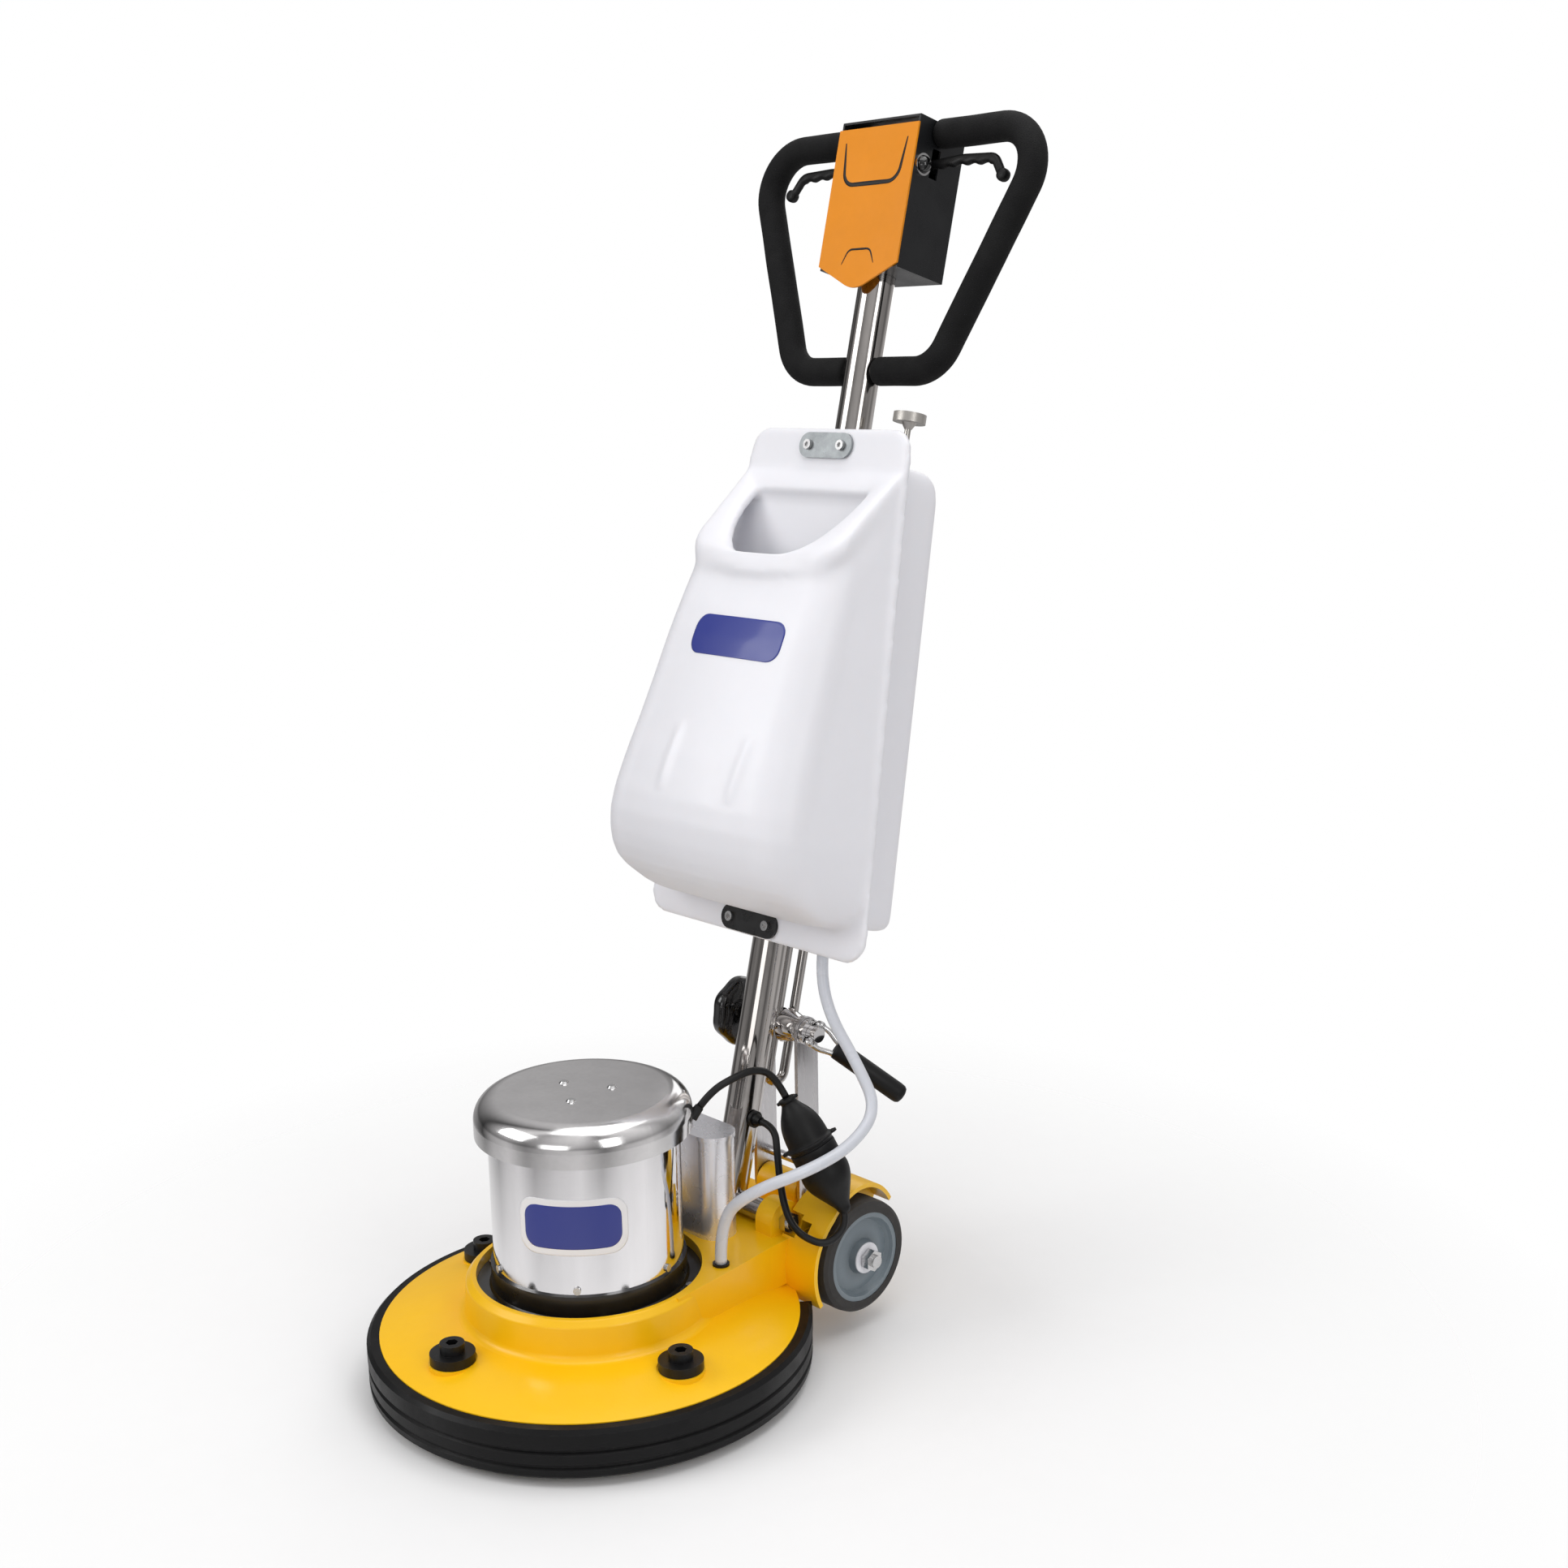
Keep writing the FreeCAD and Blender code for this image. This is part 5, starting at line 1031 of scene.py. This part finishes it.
GRIP_RADIUS = 0.0158  # metres, as is how far its skin wanders
GRIP_UNEVEN = 0.00035
CLAMP_AT = (43, 217)  # the clamp bolt: backward, and up the column
TUFT_RINGS = 10
TUFT_FIRST = 76  # radius of the innermost ring
TUFT_STEP = 12.6
TUFT_APART = 12.5


def make_grips(made):
    """Foam sleeves along the loop, with rounded ends and a slightly uneven skin."""
    for name, side in (("foam_grip_right", 1), ("foam_grip_left", -1)):
        corners = [leaning(side * x, 1, s)
                   for x, s in ((59, 1209), (218.9, 1209), (106.35, 952), (21.8, 952))]
        line = bent(corners, (0.046, 0.045))

        def skin(distance, angle, side=side):
            spot = Vector((distance * 26, math.cos(angle) * 0.7, math.sin(angle) * 0.7 + side * 5))
            return GRIP_RADIUS + noise.noise(spot) * GRIP_UNEVEN

        bm = bmesh.new()
        tube(bm, line, skin, 40, 0.005, 0.005)
        grip = piece(name, bm, "column", made["grip_foam"],
                     ("foam_grips",) if side == 1 else ())


def make_start_levers(made):
    """Curved levers with finger waves below and a flat round tip."""
    for name, side in (("right", 1), ("left", -1)):
        corners = [leaning(side * x, 0, s)
                   for x, s in ((41, 1175), (62, 1176), (98, 1179), (143, 1177), (156, 1158))]
        line = bent(corners, (0.06, 0.08, 0.013))

        def shape(distance, angle):
            wave = 0.5 - 0.5 * math.cos(distance * math.tau / 0.0185)
            grip = clamped((distance - 0.022) / 0.01) * clamped((0.108 - distance) / 0.01)
            below = max(0.0, -math.cos(angle))
            return 0.0046 + 0.0006 * math.cos(2 * angle) + below**1.5 * wave * grip * 0.0022

        bm = bmesh.new()
        tube(bm, line, shape, 24, 0.0022, 0.002, UP)
        tip = leaning(side * 158, 0, 1157)
        disc = ((1.0, -5.6), (4.6, -5.4), (6.2, -4.4), (6.9, -2.2), (7, 0), (6.9, 2.2), (6.2, 4.4),
                (4.6, 5.4), (1.0, 5.6))
        lathe(bm, disc, tip, BACK, 32)
        eye = ((1.0, -6.4), (6.0, -6.4), (7, -5.6), (7, 5.6), (6.0, 6.4), (1.0, 6.4))
        lathe(bm, eye, leaning(side * 47, 0, 1175), BACK, 32)
        piece(f"start_lever_{name}_grip", bm, f"lever_{name}", made["moulded_rubber"],
              (f"start_lever_{name}",))


def make_cam_lever(made):
    """Two bright rods from the cross pin that close in on a round rubber grip."""
    foot = leaning(50.5, *CLAMP_AT)
    turn = math.radians(53)
    swing = BACK * 0.83 - UP * 0.56  # the side of the column that the lever turns to
    axis = (Vector((1, 0, 0)) * math.cos(turn) + swing * math.sin(turn)).normalized()
    aside = (BACK * 0.56 + UP * 0.83).normalized()
    bm = bmesh.new()
    tube(bm, [foot - aside * 0.0162, foot + aside * 0.0162], 0.004, 20, 0.01, 0.0012)
    for side in (1, -1):
        start = foot + aside * side * 0.0122
        corners = [start - axis * 0.0052, start + axis * 0.012,
                   foot + aside * side * 0.0072 + axis * 0.026,
                   foot + aside * side * 0.0068 + axis * 0.04]
        tube(bm, bent(corners, (0.02, 0.02)), 0.0033, 16, 0.003, 0.0012)
        eye = ((1, -3.1), (4.6, -3.1), (5.5, -2.4), (5.5, 2.4), (4.6, 3.1), (1, 3.1))
        lathe(bm, eye, start, aside, 28)
    piece("cam_lever_rods", bm, "lever", made["bolt_steel"], ("clamp_lever",))
    profile = ((6, 27.6), (9.6, 27.9), (10.9, 29.4), (11.2, 32), (11.2, 60), (11.2, 90), (11.2, 113),
               (10.7, 117.2), (9, 119.9), (6, 121.2), (1, 121.6))
    bm = bmesh.new()
    lathe(bm, profile, foot, axis, 48)
    piece("cam_lever_grip", bm, "lever", made["moulded_rubber"])


def make_knob(made):
    """The clamp's star knob: seven soft lobes round a crowned face."""

    def lobes(angle, radius, distance):
        share = clamped((radius - 20) / 14)
        return 1 - 0.03 * share * (1 + math.cos(7 * angle))

    profile = ((9, 0.3), (12, 0.6), (12.6, 3), (13.4, 6.6), (20, 8.4), (30, 10.2), (38, 13.2), (41, 17.5),
               (41, 24), (39, 28.6), (34, 31), (26, 32.2), (14, 32.8), (2, 33))
    bm = bmesh.new()
    lathe(bm, smooth_profile(profile, 3), leaning(-50.2, *CLAMP_AT), Vector((-1, 0, 0)), 140, lobes)
    piece("star_knob", bm, "knob", made["gloss_plastic"], ("clamp_knob",))


def make_bristles(made):
    """Rings of stiff tufts under the brush block, each a flared bundle with a ragged end."""
    rng = random.Random(17)
    bm = bmesh.new()
    for ring in range(TUFT_RINGS):
        radius = TUFT_FIRST + ring * TUFT_STEP
        count = round(math.tau * radius / TUFT_APART)
        for k in range(count):
            angle = math.tau * (k + 0.5 * (ring % 2)) / count + rng.uniform(-0.01, 0.01)
            heading = Vector((math.cos(angle), math.sin(angle), 0))
            aside = Vector((-heading.y, heading.x, 0))
            lean = heading * rng.uniform(-0.6, 0.9) + aside * rng.uniform(-0.9, 0.9)
            if radius > 185:
                lean = heading * rng.uniform(0.0, 0.9) + aside * rng.uniform(-0.8, 0.8)
            loops = []
            for height, width in ((32.4, 3.2), (24, 3.4), (14, 3.9), (5, 4.6), (0.9, 4.9)):
                fall = (32 - height) / 32
                centre = heading * radius + lean * fall * 1.6
                loop = []
                for i, a in enumerate(turns(8)):
                    jag = rng.uniform(-0.8, 0.5) if height < 1 else 0.0
                    r = width * (1 + 0.16 * (-1) ** i * fall)
                    loop.append(upright(
                        centre.x + r * math.cos(a), centre.y + r * math.sin(a), max(height + jag, 0.05)))
                loops.append(loop)
            loft(bm, loops)
    piece("bristle_tufts", bm, "brush", made["bristle"], ("brush_bristles",))


# ---- Stage ----


def make_floor():
    """A plain pale round floor that fades into the white behind it."""
    bm = bmesh.new()
    loops = []
    for radius in (0.02, 0.3, 0.8, 1.4, 2.2, 3.2):
        loops.append([Vector((radius * math.cos(a), FLOOR_CENTRE[1] + radius * math.sin(a), 0))
                      for a in turns(FLOOR_SIDES)])
    loft(bm, loops, capped=False)
    bm.faces.new(list(bm.verts)[:FLOOR_SIDES])
    floor = placed("floor", mesh_of("floor", bm))
    f = surface("pale_floor", (0.9, 0.9, 0.9, 1), 0.7, vary=0.01, tone=4, specular=0.2)
    apart = f.node("VectorMath")
    apart.operation = "DISTANCE"
    f.plug(apart.inputs[0], f.coords)
    f.plug(apart.inputs[1], FLOOR_CENTRE)
    fade = f.remap(apart.outputs["Value"], 0.36, 1.0)
    f.give_way(fade, f.node("BsdfTransparent"))
    floor.data.materials.append(f.material)


# ---- All together ----

SCENE.view_settings.view_transform = "Standard"
make_camera()
make_world()
make_lights()
make_floor()
finishes = make_materials()
dress_nodes(finishes)
plug_boot, socket_boot = make_coupling(finishes)
make_cords(finishes)
tank_shell = make_tank(finishes)
make_labels(finishes, tank_shell)
make_plate_lines(finishes)
make_grips(finishes)
make_start_levers(finishes)
make_knob(finishes)
make_cam_lever(finishes)
make_bristles(finishes)
